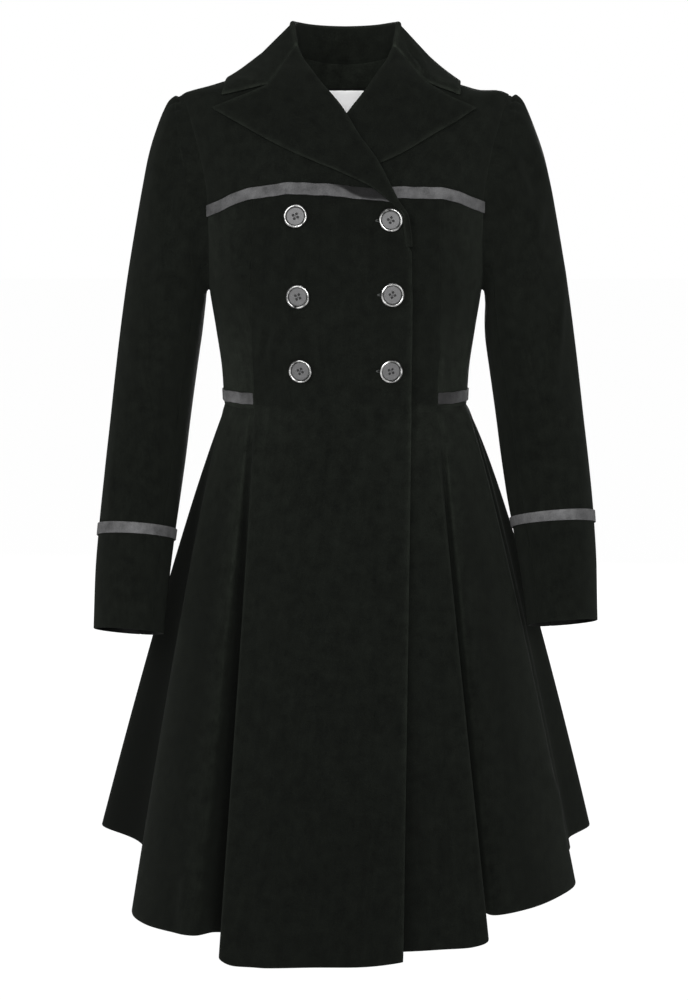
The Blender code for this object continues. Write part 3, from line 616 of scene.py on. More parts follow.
def grey_ribbon():
    """Grey velvet ribbon: pile as on the coat, fine ribs across it and a firm woven edge."""
    made, tree, shader = new_material("grey_ribbon")
    shade, height = place_pile(tree, 0.34, 0.55, 0.14)
    chart = add(tree, "ShaderNodeSeparateXYZ", {0: place(tree, "UV")})
    rib = maths(tree, "SINE", maths(tree, "MULTIPLY", chart.outputs["X"], 2 * math.pi / 0.0012), 0.0)
    tinted(tree, shader, (0.067, 0.067, 0.068), maths(tree, "MULTIPLY", shade, scaled(tree, rib, 0.05, 1.0)))
    set_sockets(shader, {"Roughness": 0.85, "Specular IOR Level": 0.2})
    set_sheen(shader, 0.06, 0.45, (1.0, 1.0, 1.0))
    bumped(tree, shader, maths(tree, "ADD", height, maths(tree, "MULTIPLY", rib, 0.3)), 0.0004)
    return made


def plain_lining():
    """Smooth black lining with a faint twill."""
    made, tree, shader = new_material("black_lining")
    chart = add(tree, "ShaderNodeSeparateXYZ", {0: place(tree, "UV")})
    slant = maths(tree, "ADD", chart.outputs["X"], chart.outputs["Y"])
    twill = maths(tree, "SINE", maths(tree, "MULTIPLY", slant, 2 * math.pi / 0.0016), 0.0)
    tinted(tree, shader, (0.0032, 0.0034, 0.0032), scaled(tree, twill, 0.12, 1.0))
    set_sockets(shader, {"Roughness": 0.5, "Specular IOR Level": 0.10})
    bumped(tree, shader, twill, 0.0001)
    return made


def white_satin():
    """Woven satin label: long fine floats across it."""
    made, tree, shader = new_material("white_satin")
    long = add(tree, "ShaderNodeMapping", {"Vector": place(tree, "UV"), "Scale": (180.0, 2600.0, 1.0)})
    floats = noise(tree, long.outputs[0], 1.0, 2.0)
    tinted(tree, shader, (0.96, 0.96, 0.96), scaled(tree, floats, 0.10, 0.92))
    set_sockets(shader, {"Roughness": 0.38})
    bumped(tree, shader, floats, 0.0001)
    return made


VELVET, RIBBON_CLOTH, LINING, LABEL_CLOTH = black_velvet(), grey_ribbon(), plain_lining(), white_satin()
COAT_CLOTH = (VELVET, LINING)
print("materials:", VELVET.name, RIBBON_CLOTH.name, LINING.name, LABEL_CLOTH.name)

# %% [markdown]
# ## Bodice
# The fronts are a yoke, a side front and a centre front that runs on into the skirt. The right front laps
# over the left, so each stands a few millimetres off the body near the middle. Creases come from tables of
# three points: a bust pulls drag lines towards the waist, and a filled side shows long soft ridges.

# %% Front shapes
# height, distance from the centre
FRONT_EDGE = (
    (-0.0140, 0.0750), (-0.0155, 0.0625), (-0.0180, 0.0445), (-0.0295, 0.0370), (-0.0420, 0.0285),
    (-0.0705, 0.0060), (-0.0975, -0.0103), (-0.1225, -0.0283), (-0.1470, -0.0411), (-0.1660, -0.0512),
    (-0.1712, -0.0548), (-0.1767, -0.0578), (-0.1872, -0.0598), (-0.1964, -0.0613), (-0.2069, -0.0640),
    (-0.2120, -0.0668), (-0.2200, -0.0671), (-0.2380, -0.0671), (-0.2650, -0.0677), (-0.3650, -0.0671),
    (-0.3775, -0.0670),
)
PRINCESS = ((-0.145, 0.0955), (-0.262, 0.0985), (-0.3775, 0.0964))
# distance from the centre towards the armhole, height
YOKE_SEAM = {
    "right": ((-0.066, -0.1590), (0.000, -0.1520), (0.050, -0.1485), (0.095, -0.1507), (0.120, -0.1590),
              (0.152, -0.1740)),
    "left": ((-0.066, -0.1525), (0.000, -0.1510), (0.050, -0.1505), (0.095, -0.1510), (0.120, -0.1560),
             (0.152, -0.1700)),
}
LAP = {"right": 0.0050, "left": -0.0030}
LAP_STARTS = {"right": (0.085, 0.055), "left": (0.100, 0.070)}
LAP_TOP_Z, LAP_TOP_FADE = -0.030, 0.030
YOKE_MIDDLE_Z, YOKE_SETTLES = -0.155, 12

# x and z at the start, middle and end of each crease, half width, height
BODICE_CREASES = (
    (-0.0740, -0.2550, -0.0880, -0.2900, -0.0930, -0.3400, 0.0050, 0.0016),
    (-0.0520, -0.2700, -0.0740, -0.3080, -0.0870, -0.3560, 0.0060, 0.0014),
    (-0.0650, -0.2640, -0.0820, -0.3000, -0.0900, -0.3500, 0.0045, -0.0012),
    (-0.1400, -0.2000, -0.1290, -0.2680, -0.1150, -0.3500, 0.0070, 0.0016),
    (-0.1180, -0.1900, -0.1160, -0.2200, -0.1120, -0.2500, 0.0080, 0.0012),
    (0.1225, -0.1780, 0.1285, -0.2140, 0.1400, -0.2400, 0.0060, 0.0022),
    (0.1150, -0.1900, 0.1200, -0.2200, 0.1300, -0.2500, 0.0060, -0.0014),
    (0.1095, -0.2080, 0.1180, -0.2540, 0.1255, -0.3050, 0.0050, 0.0018),
    (0.0970, -0.2960, 0.1010, -0.3250, 0.1045, -0.3560, 0.0045, 0.0016),
    (0.1434, -0.2100, 0.1345, -0.2900, 0.1230, -0.3600, 0.0070, 0.0014),
    (0.0850, -0.2700, 0.0920, -0.3000, 0.0930, -0.3400, 0.0060, 0.0010),
)
BACK_CREASES = (
    (-0.0700, -0.2200, -0.0800, -0.2900, -0.0500, -0.3550, 0.0090, 0.0016),
    (0.0720, -0.2100, 0.0820, -0.2800, 0.0520, -0.3500, 0.0090, 0.0016),
    (-0.1250, -0.1500, -0.1000, -0.1900, -0.0900, -0.2500, 0.0100, 0.0018),
    (0.1240, -0.1550, 0.1000, -0.1950, 0.0900, -0.2550, 0.0100, 0.0018),
    (0.0000, -0.2900, 0.0050, -0.3200, 0.0000, -0.3600, 0.0120, -0.0012),
    (-0.0900, -0.3050, -0.0300, -0.3180, 0.0300, -0.3120, 0.0070, 0.0012),
    (0.0950, -0.3200, 0.0500, -0.3330, -0.0100, -0.3300, 0.0070, 0.0011),
)
FRONT, BACK = -1.0, 1.0


def lap_out(side, x, z):
    """How far a front stands off the body: full near the middle, none towards its side and at the neck."""
    start, end = LAP_STARTS[side]
    return LAP[side] * ease((start - x) / (start - end)) * ease((LAP_TOP_Z - z) / LAP_TOP_FADE)


def on_front(side, x, z, out=0.0):
    """A point of one front: x is the distance from the centre towards the front's own side."""
    x, z = np.broadcast_arrays(np.asarray(x, float), np.asarray(z, float))
    return body(angle_at(SIDE[side] * x, z), z, lap_out(side, x, z) + out)


def front_edge(z):
    return angle_at(column(FRONT_EDGE, 0, 1, z), z)


def princess(z):
    return angle_at(column(PRINCESS, 0, 1, z), z)


def armhole_front(z):
    """Shoulder seam, then the armhole, then the side seam."""
    return np.where(z > ARMPIT_Z, edge_angle(z, True), math.pi / 2)


def yoke_line(side, across, inner, outer):
    """The yoke seam's height at each share of the way between two edges, settled by repeated substitution."""
    z = np.full(np.shape(across), YOKE_MIDDLE_Z)
    for _ in range(YOKE_SETTLES):
        angle = lerp(inner(z), outer(z), across)
        z = column(YOKE_SEAM[side], 0, 1, np.abs(ring(angle, z)[..., 0]) * np.sign(angle))
    return z


def front_points(side, z, across, inner, outer):
    """Points between two edges of one front: the angle goes straight from the inner edge to the outer."""
    angle = lerp(inner, outer, across)
    x = np.abs(ring(angle, z)[..., 0]) * np.sign(angle)
    return body(SIDE[side] * angle, z, lap_out(side, x, z))


def shares(rows, columns):
    """Shares across and down a grid, each from 0 to 1."""
    return np.meshgrid(np.linspace(0, 1, columns + 1), np.linspace(0, 1, rows + 1))


# Painted highlight along folds pressed outward, where the pile also opens: pile parting and painted sheen.
FOLD_LIGHT = 0.8
TURNED = 0.0026
SEWN = 0.0007
ALL_SEWN = dict.fromkeys(("top", "bottom", "left", "right"), SEWN)


def edge_glow(grid, top=0.0, bottom=0.0, left=0.0, right=0.0):
    """Paler turned edges, pile parting and painted highlight: 1 plus amount times exp(-(distance / width)
    squared).
    """
    gaps = border_gaps(grid)
    return 1 + sum(a * np.exp(-((g / TURNED) ** 2)) for a, g in zip((top, bottom, left, right), gaps))


def velvet_piece(node, grid, seams, trims, creases=(), facing=FRONT, centre=None, light=1.0,
                 glow=None, looks=COAT_CLOTH):
    """Creases, seams and a shell for one velvet piece, in that order."""
    grid = lowered(grid)
    centre = axis_line(grid) if centre is None else centre
    shaped = creased(grid, centre, creases, facing) if len(creases) else grid
    shaped = sewn(shaped, centre, **seams)
    shaped = drawn_in(shaped, **trims)
    # painted light: the given light and shade, times painted highlights on outward folds and turned edges
    lit = light * (1 + FOLD_LIGHT * tight_folds(shaped, faced(shaped, centre)))
    lit = lit * edge_glow(shaped, **(glow or {}))
    piece = cloth_shell(node + "_velvet", shaped, CLOTH, looks, centre, lit)
    settle(piece, node)
    return shaped


print("creases drawn on the bodice:", len(BODICE_CREASES) + len(BACK_CREASES))

# %% Yokes, side fronts and back
ARMHOLE_SINK, SEAM_SINK, WAIST_SINK = 0.0008, 0.0006, 0.0006
# Painted light on the bodice: highlights at the armholes and turned edges, a painted sheen that grows towards
# each side front's armhole and its waist, and painted shade on the upper centre front and the lapel.
ARMHOLE_GLOW, EDGE_GLOW, SIDE_LIGHT = 1.2, 1.3, 2.2
SIDE_PALE, SIDE_PALE_FROM, SIDE_PALE_RUN = {"right": 1.4, "left": 1.0}, 0.45, 0.45
BODICE_LIGHT, LAPEL_LIGHT = 0.78, 0.85
BACK_ROWS = (-0.013, -0.021, -0.029, -0.0375, -0.0465, -0.075, -0.11, -0.15, -0.20, -0.252, -0.30, -0.335,
             -0.36, -0.3775)


def yoke(side):
    across, down = shares(60, 48)
    z = lerp(FRONT_EDGE[0][0], yoke_line(side, across, front_edge, armhole_front), down**1.8)
    grid = front_points(side, z, across, front_edge(z), armhole_front(z))
    velvet_piece("yoke_" + side, grid,
                 {"right": ARMHOLE_SINK, "bottom": SEAM_SINK}, {"right": SEWN, "bottom": SEWN, "left": SEWN},
                 glow={"right": ARMHOLE_GLOW})


def side_front(side):
    across, down = shares(64, 36)
    z = lerp(yoke_line(side, across, princess, armhole_front), WAIST_Z, down)
    grid = front_points(side, z, across, princess(z), armhole_front(z))
    # painted sheen: paler towards the side and, below the middle, towards the waist
    paler = 1 + SIDE_PALE[side] * ease((down - SIDE_PALE_FROM) / SIDE_PALE_RUN)
    velvet_piece("side_front_" + side, grid,
                 {"left": SEAM_SINK, "right": ARMHOLE_SINK, "top": SEAM_SINK, "bottom": WAIST_SINK},
                 ALL_SEWN, BODICE_CREASES,
                 light=lerp(1.0, SIDE_LIGHT, ease(across)) * paler, glow={"right": ARMHOLE_GLOW})


def back_bodice():
    knots = np.arange(len(BACK_ROWS))
    heights = np.interp(np.linspace(0, knots[-1], 92), knots, BACK_ROWS)
    across, _ = shares(len(heights) - 1, 132)
    top = neck_z(lerp(math.pi / 2, 3 * math.pi / 2, across))
    z = lerp(top, WAIST_Z, ((heights - heights[0]) / (heights[-1] - heights[0]))[:, None])
    edge = np.where(z > ARMPIT_Z, edge_angle(z, False), math.pi / 2)
    grid = body(lerp(edge, 2 * math.pi - edge, across), z)
    velvet_piece("back_bodice", grid,
                 {"left": ARMHOLE_SINK, "right": ARMHOLE_SINK, "bottom": WAIST_SINK, "top": SEAM_SINK},
                 ALL_SEWN, BACK_CREASES, BACK)


for wearer_side in SIDE:
    yoke(wearer_side)
    side_front(wearer_side)
back_bodice()

# %% [markdown]
# ## Skirt
# The skirt hangs in fold lines. Each row below is one fold: where it leaves the waist, where it meets the
# hem, and how quickly it flares. A smooth spline joins the folds round the body, so two close rows make a
# sharp pleat edge and far ones a soft wave. The fronts run from the yoke seam to the hem in one length.

# %% Fold table
# name, angle at the waist, hem x, hem y, hem z, flare power, painted light and shade: darker in the pleat
# hollows and beside the over front's edge, darkest on the folds beside the right side seam, paler on ridges
FOLDS = (
    ("over_edge", 28.5, 0.0567, -0.2320, -0.9290, 1.15, 1.00),
    ("over_1", 11.3, 0.0200, -0.2360, -0.9325, 1.15, 1.00),
    ("over_2", -7.2, -0.0360, -0.2340, -0.9338, 1.15, 1.00),
    ("over_3", -27.4, -0.0900, -0.2260, -0.9372, 1.12, 1.00),
    ("over_fold_1", -38.1, -0.1190, -0.2185, -0.9385, 1.06, 1.00),
    ("over_fold_2", -42.7, -0.1295, -0.2115, -0.9345, 1.02, 1.00),
    ("over_fold_3", -44.4, -0.1270, -0.1960, -0.9310, 1.02, 0.55),
    ("over_under", -45.4, -0.1200, -0.1680, -0.9295, 1.02, 0.20),
    ("pleat_right", -46.4, -0.1260, -0.1450, -0.9285, 1.00, 0.20),
    ("right_in", -47.8, -0.1390, -0.1450, -0.9275, 1.00, 0.25),
    ("right_fold", -50.0, -0.1590, -0.1620, -0.9258, 0.98, 1.35),
    ("right_1", -58.0, -0.1870, -0.1440, -0.9270, 0.95, 0.75),
    ("right_2", -68.0, -0.2180, -0.1080, -0.9295, 0.91, 0.85),
    ("right_ridge", -79.0, -0.2330, -0.0700, -0.9285, 0.86, 1.25),
    ("right_turn", -84.0, -0.2270, -0.0350, -0.9200, 0.92, 0.80),
    ("seam_right", -90.0, -0.2120, -0.0020, -0.9080, 0.90, 0.10),
    ("back_1", -97.0, -0.2350, 0.0660, -0.8910, 0.86, 0.05),
    ("back_2", -105.0, -0.2880, 0.1400, -0.8890, 0.87, 0.10),
    ("back_3", -112.0, -0.2700, 0.1800, -0.8900, 0.90, 1.00),
    ("back_4", -122.0, -0.2050, 0.1960, -0.8930, 0.92, 1.00),
    ("back_5", -136.0, -0.1680, 0.2680, -0.8960, 0.95, 1.00),
    ("back_6", -156.0, -0.0850, 0.2360, -0.8980, 0.98, 1.00),
    ("back_7", -180.0, 0.0000, 0.2860, -0.8980, 1.00, 1.00),
    ("back_8", -204.0, 0.0850, 0.2360, -0.8980, 0.98, 1.00),
    ("back_9", -224.0, 0.1680, 0.2680, -0.8960, 0.95, 1.00),
    ("back_10", -238.0, 0.2050, 0.1960, -0.8930, 0.92, 1.00),
    ("back_11", -248.0, 0.2700, 0.1800, -0.8900, 0.90, 1.00),
    ("back_12", -255.0, 0.2890, 0.1400, -0.8890, 0.79, 1.00),
    ("back_13", -261.0, 0.2590, 0.0900, -0.8920, 0.80, 1.00),
    ("back_14", -266.0, 0.2570, 0.0560, -0.8950, 0.82, 1.00),
    ("seam_left", -270.0, 0.2330, 0.0060, -0.8970, 0.90, 1.70),
    ("left_turn", -276.0, 0.2470, -0.0180, -0.9010, 0.92, 1.40),
    ("left_ridge", -282.0, 0.2535, -0.0420, -0.9050, 0.86, 1.45),
    ("left_2", -294.0, 0.2320, -0.0850, -0.9070, 0.93, 1.10),
    ("left_1", -303.0, 0.1973, -0.1200, -0.9095, 0.95, 0.80),
    ("left_fold", -310.0, 0.1560, -0.1420, -0.9100, 0.98, 1.15),
    ("left_in", -312.2, 0.1440, -0.1270, -0.9100, 1.00, 0.70),
    ("pleat_left", -313.6, 0.1340, -0.1300, -0.9105, 1.00, 0.60),
    ("under_under", -314.6, 0.1340, -0.1560, -0.9130, 1.02, 0.60),
    ("under_fold_3", -315.6, 0.1450, -0.1830, -0.9160, 1.02, 0.70),
    ("under_fold_2", -317.3, 0.1475, -0.1960, -0.9210, 1.02, 1.00),
    ("under_fold_1", -321.9, 0.1340, -0.2040, -0.9245, 1.06, 1.00),
    ("under_3", -332.6, 0.0960, -0.2120, -0.9255, 1.12, 1.00),
    ("under_2", -352.8, 0.0300, -0.2210, -0.9250, 1.15, 0.50),
    ("under_1", -371.3, -0.0200, -0.2230, -0.9220, 1.15, 1.00),
    ("under_edge", -388.5, -0.0567, -0.2190, -0.9210, 1.15, 1.00),
)
FOLD_NAMES = [fold[0] for fold in FOLDS]
FOLD_ANGLES = np.radians([fold[1] for fold in FOLDS])
FOLD_HEMS = np.array([fold[2:5] for fold in FOLDS])
FOLD_POWERS = np.array([fold[5] for fold in FOLDS])
FOLD_LIGHTS = np.array([fold[6] for fold in FOLDS])
FOLD_COLUMNS = 11
# Painted sheen on the skirt's sides just below the waist, and painted shade growing towards the front hem.
WAIST_PALE, PALE_RUN, HEM_DARK = 1.8, 0.12, 0.35


def fold_weights(at):
    """Weights of the fold lines at each place along the skirt's ring.

    A cubic spline through every fold, whose slope at a fold is the distance-weighted mean of its two sides.
    """
    gaps = np.linalg.norm(np.diff(FOLD_HEMS[:, :2], axis=0), axis=1) ** 0.5
    x = np.concatenate([[0], np.cumsum(gaps)])
    place = np.interp(at, np.arange(len(x)), x)
    step = np.diff(x)[:, None]
    y = np.eye(len(x))
    rise = np.diff(y, axis=0) / step
    slope = np.empty_like(y)
    slope[1:-1] = (rise[:-1] * step[1:] + rise[1:] * step[:-1]) / (step[:-1] + step[1:])
    slope[0], slope[-1] = rise[0], rise[-1]
    return joined(x, y, slope, place)


def fold_columns(first, last):
    """Places along the skirt's ring from one fold to another, each fold's stretch cut into equal parts."""
    a, b = FOLD_NAMES.index(first), FOLD_NAMES.index(last)
    return np.linspace(a, b, (b - a) * FOLD_COLUMNS + 1)


def skirt(at, down, side=None):
    """Waist point plus the weighted way to the hem, each fold growing as down to its own power."""
    weights = fold_weights(at)
    angle = weights @ FOLD_ANGLES
    x = ring(angle, WAIST_Z)[:, 0]
    out = lap_out(side, SIDE[side] * x, WAIST_Z) if side else 0.0
    top = body(angle, np.full_like(angle, WAIST_Z), out)
    change = FOLD_HEMS - ring(FOLD_ANGLES, np.full_like(FOLD_ANGLES, WAIST_Z))
    growth = np.stack([down[:, None] ** FOLD_POWERS] * 2 + [np.repeat(down[:, None], len(FOLDS), 1)], -1)
    return top[None] + np.einsum("ck,rkd->rcd", weights, growth * change[None])


def skirt_light(at, down):
    """Painted light and shade: the folds' column, painted sheen on the waist's sides, painted shade at the
    front hem.
    """
    weights = fold_weights(at)
    sides = np.sin(weights @ FOLD_ANGLES) ** 2
    own = 1 + (weights @ FOLD_LIGHTS - 1)[None] * ease(down / 0.25)[:, None]
    own = own * (1 + WAIST_PALE * sides[None] * np.exp(-down / PALE_RUN)[:, None])
    return own * (1 - HEM_DARK * (1 - sides)[None] * ease(down)[:, None])


print(len(FOLDS), "folds round the skirt")

# %% Fronts and skirt panels
SKIRT_CREASES = (
    (0.2100, -0.7600, 0.2320, -0.8080, 0.2520, -0.8560, 0.0060, 0.0022),
    (-0.0600, -0.4600, -0.0550, -0.6200, -0.0500, -0.8000, 0.0300, 0.0016),
    (0.0200, -0.5000, 0.0220, -0.6800, 0.0240, -0.8600, 0.0300, -0.0014),
    (-0.1650, -0.8600, -0.1700, -0.8900, -0.1720, -0.9400, 0.0060, 0.0016),
)
PLEAT_TRIM = CLOTH / 2 - 0.0001


def centre_front(side, first, last):
    """A front in one length: the bodice rows above the waist, then the skirt rows."""
    at = fold_columns(first, last)
    own = np.mod(SIDE[side] * (fold_weights(at) @ FOLD_ANGLES) + math.pi, 2 * math.pi) - math.pi
    share = (own - own.min()) / (own.max() - own.min())
    across, down = np.meshgrid(share, np.linspace(0, 1, 41)[:-1])
    z = lerp(yoke_line(side, across, front_edge, princess), WAIST_Z, down)
    bodice = front_points(side, z, across, front_edge(z), princess(z))
    fall = np.linspace(0, 1, 81)
    grid = np.concatenate([bodice, skirt(at, fall, side)])
    # painted shade on the upper bodice, then the skirt's painted light and shade
    light = np.concatenate([lerp(BODICE_LIGHT, 1.0, down), skirt_light(at, fall)])
    velvet_piece("centre_front_" + side, grid, {"top": SEAM_SINK},
                 {"top": SEWN, "left": PLEAT_TRIM, "right": PLEAT_TRIM, "bottom": CLOTH / 2},
                 BODICE_CREASES + SKIRT_CREASES, light=light,
                 glow={"left" if first == "over_edge" else "right": EDGE_GLOW})


def skirt_panel(name, first, last, facing):
    at, fall = fold_columns(first, last), np.linspace(0, 1, 81)
    velvet_piece(name, skirt(at, fall), {"top": WAIST_SINK},
                 {"top": SEWN, "left": PLEAT_TRIM, "right": PLEAT_TRIM, "bottom": CLOTH / 2},
                 SKIRT_CREASES, facing, light=skirt_light(at, fall))


centre_front("right", "over_edge", "over_under")
centre_front("left", "under_under", "under_edge")
skirt_panel("side_skirt_right", "over_under", "right_turn", FRONT)
skirt_panel("back_skirt", "right_turn", "left_turn", BACK)
skirt_panel("side_skirt_left", "left_turn", "under_under", FRONT)

# %% [markdown]
# ## Sleeves
# A sleeve is a row of ovals from the armhole to the cuff. The head holds more cloth than the armhole, and
# the extra is gathered into small tucks at the top. Long creases run down from the head and across the
# elbow.

# %% Sleeve tables
# inner x, inner z, outer x, outer z, centre y, half depth, forward lean
SLEEVE = (
    (0.1515, -0.2550, 0.1822, -0.0512, 0.001, 0.0605, 0.00),
    (0.1525, -0.2600, 0.1885, -0.0548, 0.002, 0.0620, 0.00),
    (0.1530, -0.2660, 0.1957, -0.0655, 0.002, 0.0632, 0.00),
    (0.1540, -0.2740, 0.2038, -0.0840, 0.003, 0.0635, 0.00),
    (0.1553, -0.2850, 0.2115, -0.1085, 0.004, 0.0630, 0.00),
    (0.1575, -0.3020, 0.2188, -0.1430, 0.005, 0.0620, 0.00),
    (0.1610, -0.3240, 0.2278, -0.1900, 0.007, 0.0610, 0.00),
    (0.1660, -0.3570, 0.2380, -0.2480, 0.010, 0.0600, 0.00),
    (0.1715, -0.3950, 0.2475, -0.3130, 0.013, 0.0585, 0.03),
    (0.1765, -0.4340, 0.2562, -0.3850, 0.012, 0.0560, 0.09),
    (0.1822, -0.4760, 0.2637, -0.4530, 0.004, 0.0530, 0.17),
    (0.1876, -0.5165, 0.2690, -0.5110, -0.010, 0.0500, 0.23),
    (0.1940, -0.5710, 0.2725, -0.5655, -0.0245, 0.0475, 0.25),
    (0.1990, -0.6262, 0.2735, -0.6207, -0.0385, 0.0450, 0.25),
)
SLEEVE_HANG = {"right": 1.0, "left": 0.984}
SLEEVE_FULLER = {"right": (0.0, 0.0), "left": (-0.0050, 0.0030)}
SLEEVE_GAP = 0.0013
SLEEVE_FRONT_SEAM, SLEEVE_BACK_SEAM = 138.0, -104.0
PUFF_HEIGHT, PUFF_SPREAD, PUFF_LENGTH = {"right": 0.0046, "left": 0.0060}, 58.0, 4.2
ALLOWANCE, ALLOWANCE_DEPTH = 0.0050, 0.0035
# tucks at the head: degrees from the shoulder point (front positive), half width, length in stations, depth
TUCKS = (
    (-46, 2.6, 1.8, 0.0014), (-35, 2.6, 2.4, 0.0020), (-24, 2.4, 2.1, 0.0024), (-13, 2.5, 2.6, 0.0026),
    (-2, 2.3, 2.0, 0.0024), (9, 2.5, 2.3, 0.0028), (19, 2.4, 2.9, 0.0030), (30, 2.6, 2.2, 0.0028),
    (41, 2.8, 2.8, 0.0022), (53, 2.8, 1.8, 0.0012),
)
TUCK_DEEPER = 1.5

SLEEVE_CREASES = {
    "right": (
        (-0.1800, -0.0700, -0.1970, -0.1150, -0.2080, -0.1900, 0.0090, 0.0020),
        (-0.1700, -0.0900, -0.1830, -0.1400, -0.1890, -0.2100, 0.0100, -0.0022),
        (-0.1900, -0.1900, -0.1950, -0.2250, -0.1990, -0.2700, 0.0080, 0.0020),
        (-0.1750, -0.2300, -0.1950, -0.2800, -0.2250, -0.3100, 0.0090, -0.0022),
        (-0.2350, -0.2900, -0.2150, -0.3300, -0.1850, -0.3500, 0.0080, 0.0018),
        (-0.2450, -0.3300, -0.2250, -0.3650, -0.2000, -0.3850, 0.0080, -0.0016),
        (-0.2480, -0.4050, -0.2520, -0.4550, -0.2540, -0.5000, 0.0060, 0.0014),
    ),
    "left": (
        (0.1830, -0.0640, 0.2020, -0.1100, 0.2220, -0.1660, 0.0065, 0.0026),
        (0.1750, -0.0800, 0.1930, -0.1250, 0.2080, -0.1750, 0.0080, -0.0022),
        (0.2090, -0.1560, 0.2060, -0.1760, 0.2020, -0.1980, 0.0050, 0.0020),
        (0.2345, -0.2260, 0.2275, -0.2950, 0.2225, -0.3950, 0.0060, 0.0026),
        (0.2200, -0.2400, 0.2150, -0.3000, 0.2130, -0.3700, 0.0080, -0.0018),
        (0.1960, -0.2300, 0.1950, -0.2580, 0.1940, -0.2900, 0.0060, 0.0012),
        (0.2540, -0.4000, 0.2560, -0.4450, 0.2580, -0.4900, 0.0060, 0.0014),
    ),
}


def gather(side, station, turn):
    """The gathered head: a soft puff cut by narrow tucks that run down from the armhole seam.

    The puff is a product of two eased ramps, along the sleeve and round it. Each tuck takes away its depth
    times exp(-(degrees / half width) squared), fading to nothing at its own length.
    """
    degrees = np.degrees(turn)
    along = ease(station / 0.9) * ease((PUFF_LENGTH - station) / (PUFF_LENGTH - 0.9))
    height = PUFF_HEIGHT[side] * along * ease((PUFF_SPREAD - np.abs(degrees)) / (PUFF_SPREAD * 0.7))
    for middle, width, length, depth in TUCKS:
        reach = ease(station / 0.35) * ease((length - station) / length)
        height = height - TUCK_DEEPER * depth * reach * np.exp(-(((degrees - middle) / width) ** 2))
    return height


def allowance(turn):
    """A line under the panels round the left armhole, where the sleeve's seam allowance lies."""
    z = ARMHOLE_MIDDLE + (ARMHOLE_HALF + ALLOWANCE) * np.cos(turn)
    ahead = np.sin(turn) > 0
    y = (np.where(ahead, ARMHOLE_FRONT, ARMHOLE_BACK) + ALLOWANCE) * np.abs(np.sin(turn))
    _, front, back, square = ring_sizes(z)
    away = np.arccos(np.clip(y / np.where(ahead, front, back), 0, 1) ** (square / 2))
    return body(np.where(ahead, away, math.pi - away), z, -ALLOWANCE_DEPTH)


def armhole(turn):
    """A line just outside the left armhole; turn 0 is the shoulder point and half a turn the armpit."""
    z = ARMHOLE_MIDDLE + ARMHOLE_HALF * np.cos(turn)
    angle = np.where(np.sin(turn) > 0, edge_angle(z, True), edge_angle(z, False))
    low = ((1 - np.cos(turn)) / 2) ** 3
    return ring(angle, z) + np.stack([SLEEVE_GAP + 0.0010 * low, 0 * low, 0 * low], axis=-1)


def sleeve(side, station, turn, out=0.0):
    """Sleeve points: ovals between the inner and outer lines, from the armhole (station 0) to the cuff (14).

    Stations below 0 are the seam allowance inside the coat.
    """
    station, turn = np.broadcast_arrays(np.asarray(station, float), np.asarray(turn, float))
    rows = np.array(SLEEVE)
    shape = through(np.arange(1, len(rows) + 1), rows, np.clip(station, 1, None))
    inner_x, inner_z, outer_x, outer_z, centre_y, depth, lean = np.moveaxis(shape, -1, 0)
    fuller = ease((station - 3) / 4) * ease((14 - station) / 3)
    inner_x = inner_x + SLEEVE_FULLER[side][0] * fuller
    outer_x = outer_x + SLEEVE_FULLER[side][1] * fuller
    c, s = np.cos(turn), np.sin(turn)
    half = np.hypot(outer_x - inner_x, outer_z - inner_z) / 2
    grow = 1 + (out + gather(side, station, turn)) / half
    deep = depth + out
    x = (outer_x + inner_x) / 2 + (outer_x - inner_x) / 2 * c * grow
    y = centre_y - deep * s
    z = (outer_z + inner_z) / 2 + (outer_z - inner_z) / 2 * c * grow + lean * deep * s
    z = lerp(z, SHOULDER_Z + (z - SHOULDER_Z) * SLEEVE_HANG[side], ease((station - 6) / 6))
    section = np.stack([x, y, z], axis=-1)
    grid = lerp(armhole(turn), section, np.clip(station, 0, 1)[..., None])
    grid = lerp(grid, allowance(turn), np.clip(-station, 0, 1)[..., None])
    return grid * np.array([SIDE[side], 1, 1])


def sleeve_middle(side, stations):
    """The middle of each oval: the mean of four points a quarter turn apart."""
    quarters = np.radians([45, 135, 225, 315])
    return sleeve(side, stations[:, None], quarters[None]).mean(axis=1, keepdims=True)


# %% Sleeve pieces


def sleeve_pieces(side):
    parts = ((-1, 0, 5), (0, 1, 10), (1, 5, 44), (5, 14, 62))
    stations = np.concatenate([np.linspace(a, b, n, endpoint=False) for a, b, n in parts] + [[14.0]])
    centre = sleeve_middle(side, stations)
    top = np.radians(np.linspace(SLEEVE_BACK_SEAM, SLEEVE_FRONT_SEAM, 177))
    under = np.radians(np.linspace(SLEEVE_FRONT_SEAM, SLEEVE_BACK_SEAM + 360, 61))
    for name, turns in (("sleeve_top_", top), ("sleeve_under_", under)):
        grid = sleeve(side, stations[:, None], turns[None])
        velvet_piece(name + side, grid,
                     {"left": SEAM_SINK, "right": SEAM_SINK},
                     {"left": SEWN, "right": SEWN, "top": CLOTH / 2, "bottom": CLOTH / 2},
                     SLEEVE_CREASES[side], FRONT, centre)


for wearer_side in SIDE:
    sleeve_pieces(wearer_side)

# %% [markdown]
# ## Lapels and collar
# A lapel is the front turned back on itself. Its grid starts under the roll line, goes half way round a
# small roll and then out over the chest. Collar and lapel share one edge as far as the notch, and each goes
# on to its own point.

# %% Lapel and collar shapes
ROLL_RADIUS, FOLD_GAP = 0.0023, 0.0023
LAPEL_OUT, COLLAR_OUT = 2 * ROLL_RADIUS, 0.0034
STAND_SHARE, LAPEL_TRIM = 0.42, 0.0003
# painted shade on the lapel towards its tail, where it runs into the front edge
TAIL_LIGHT, TAIL_FROM, TAIL_RUN = 0.65, 0.70, 0.08
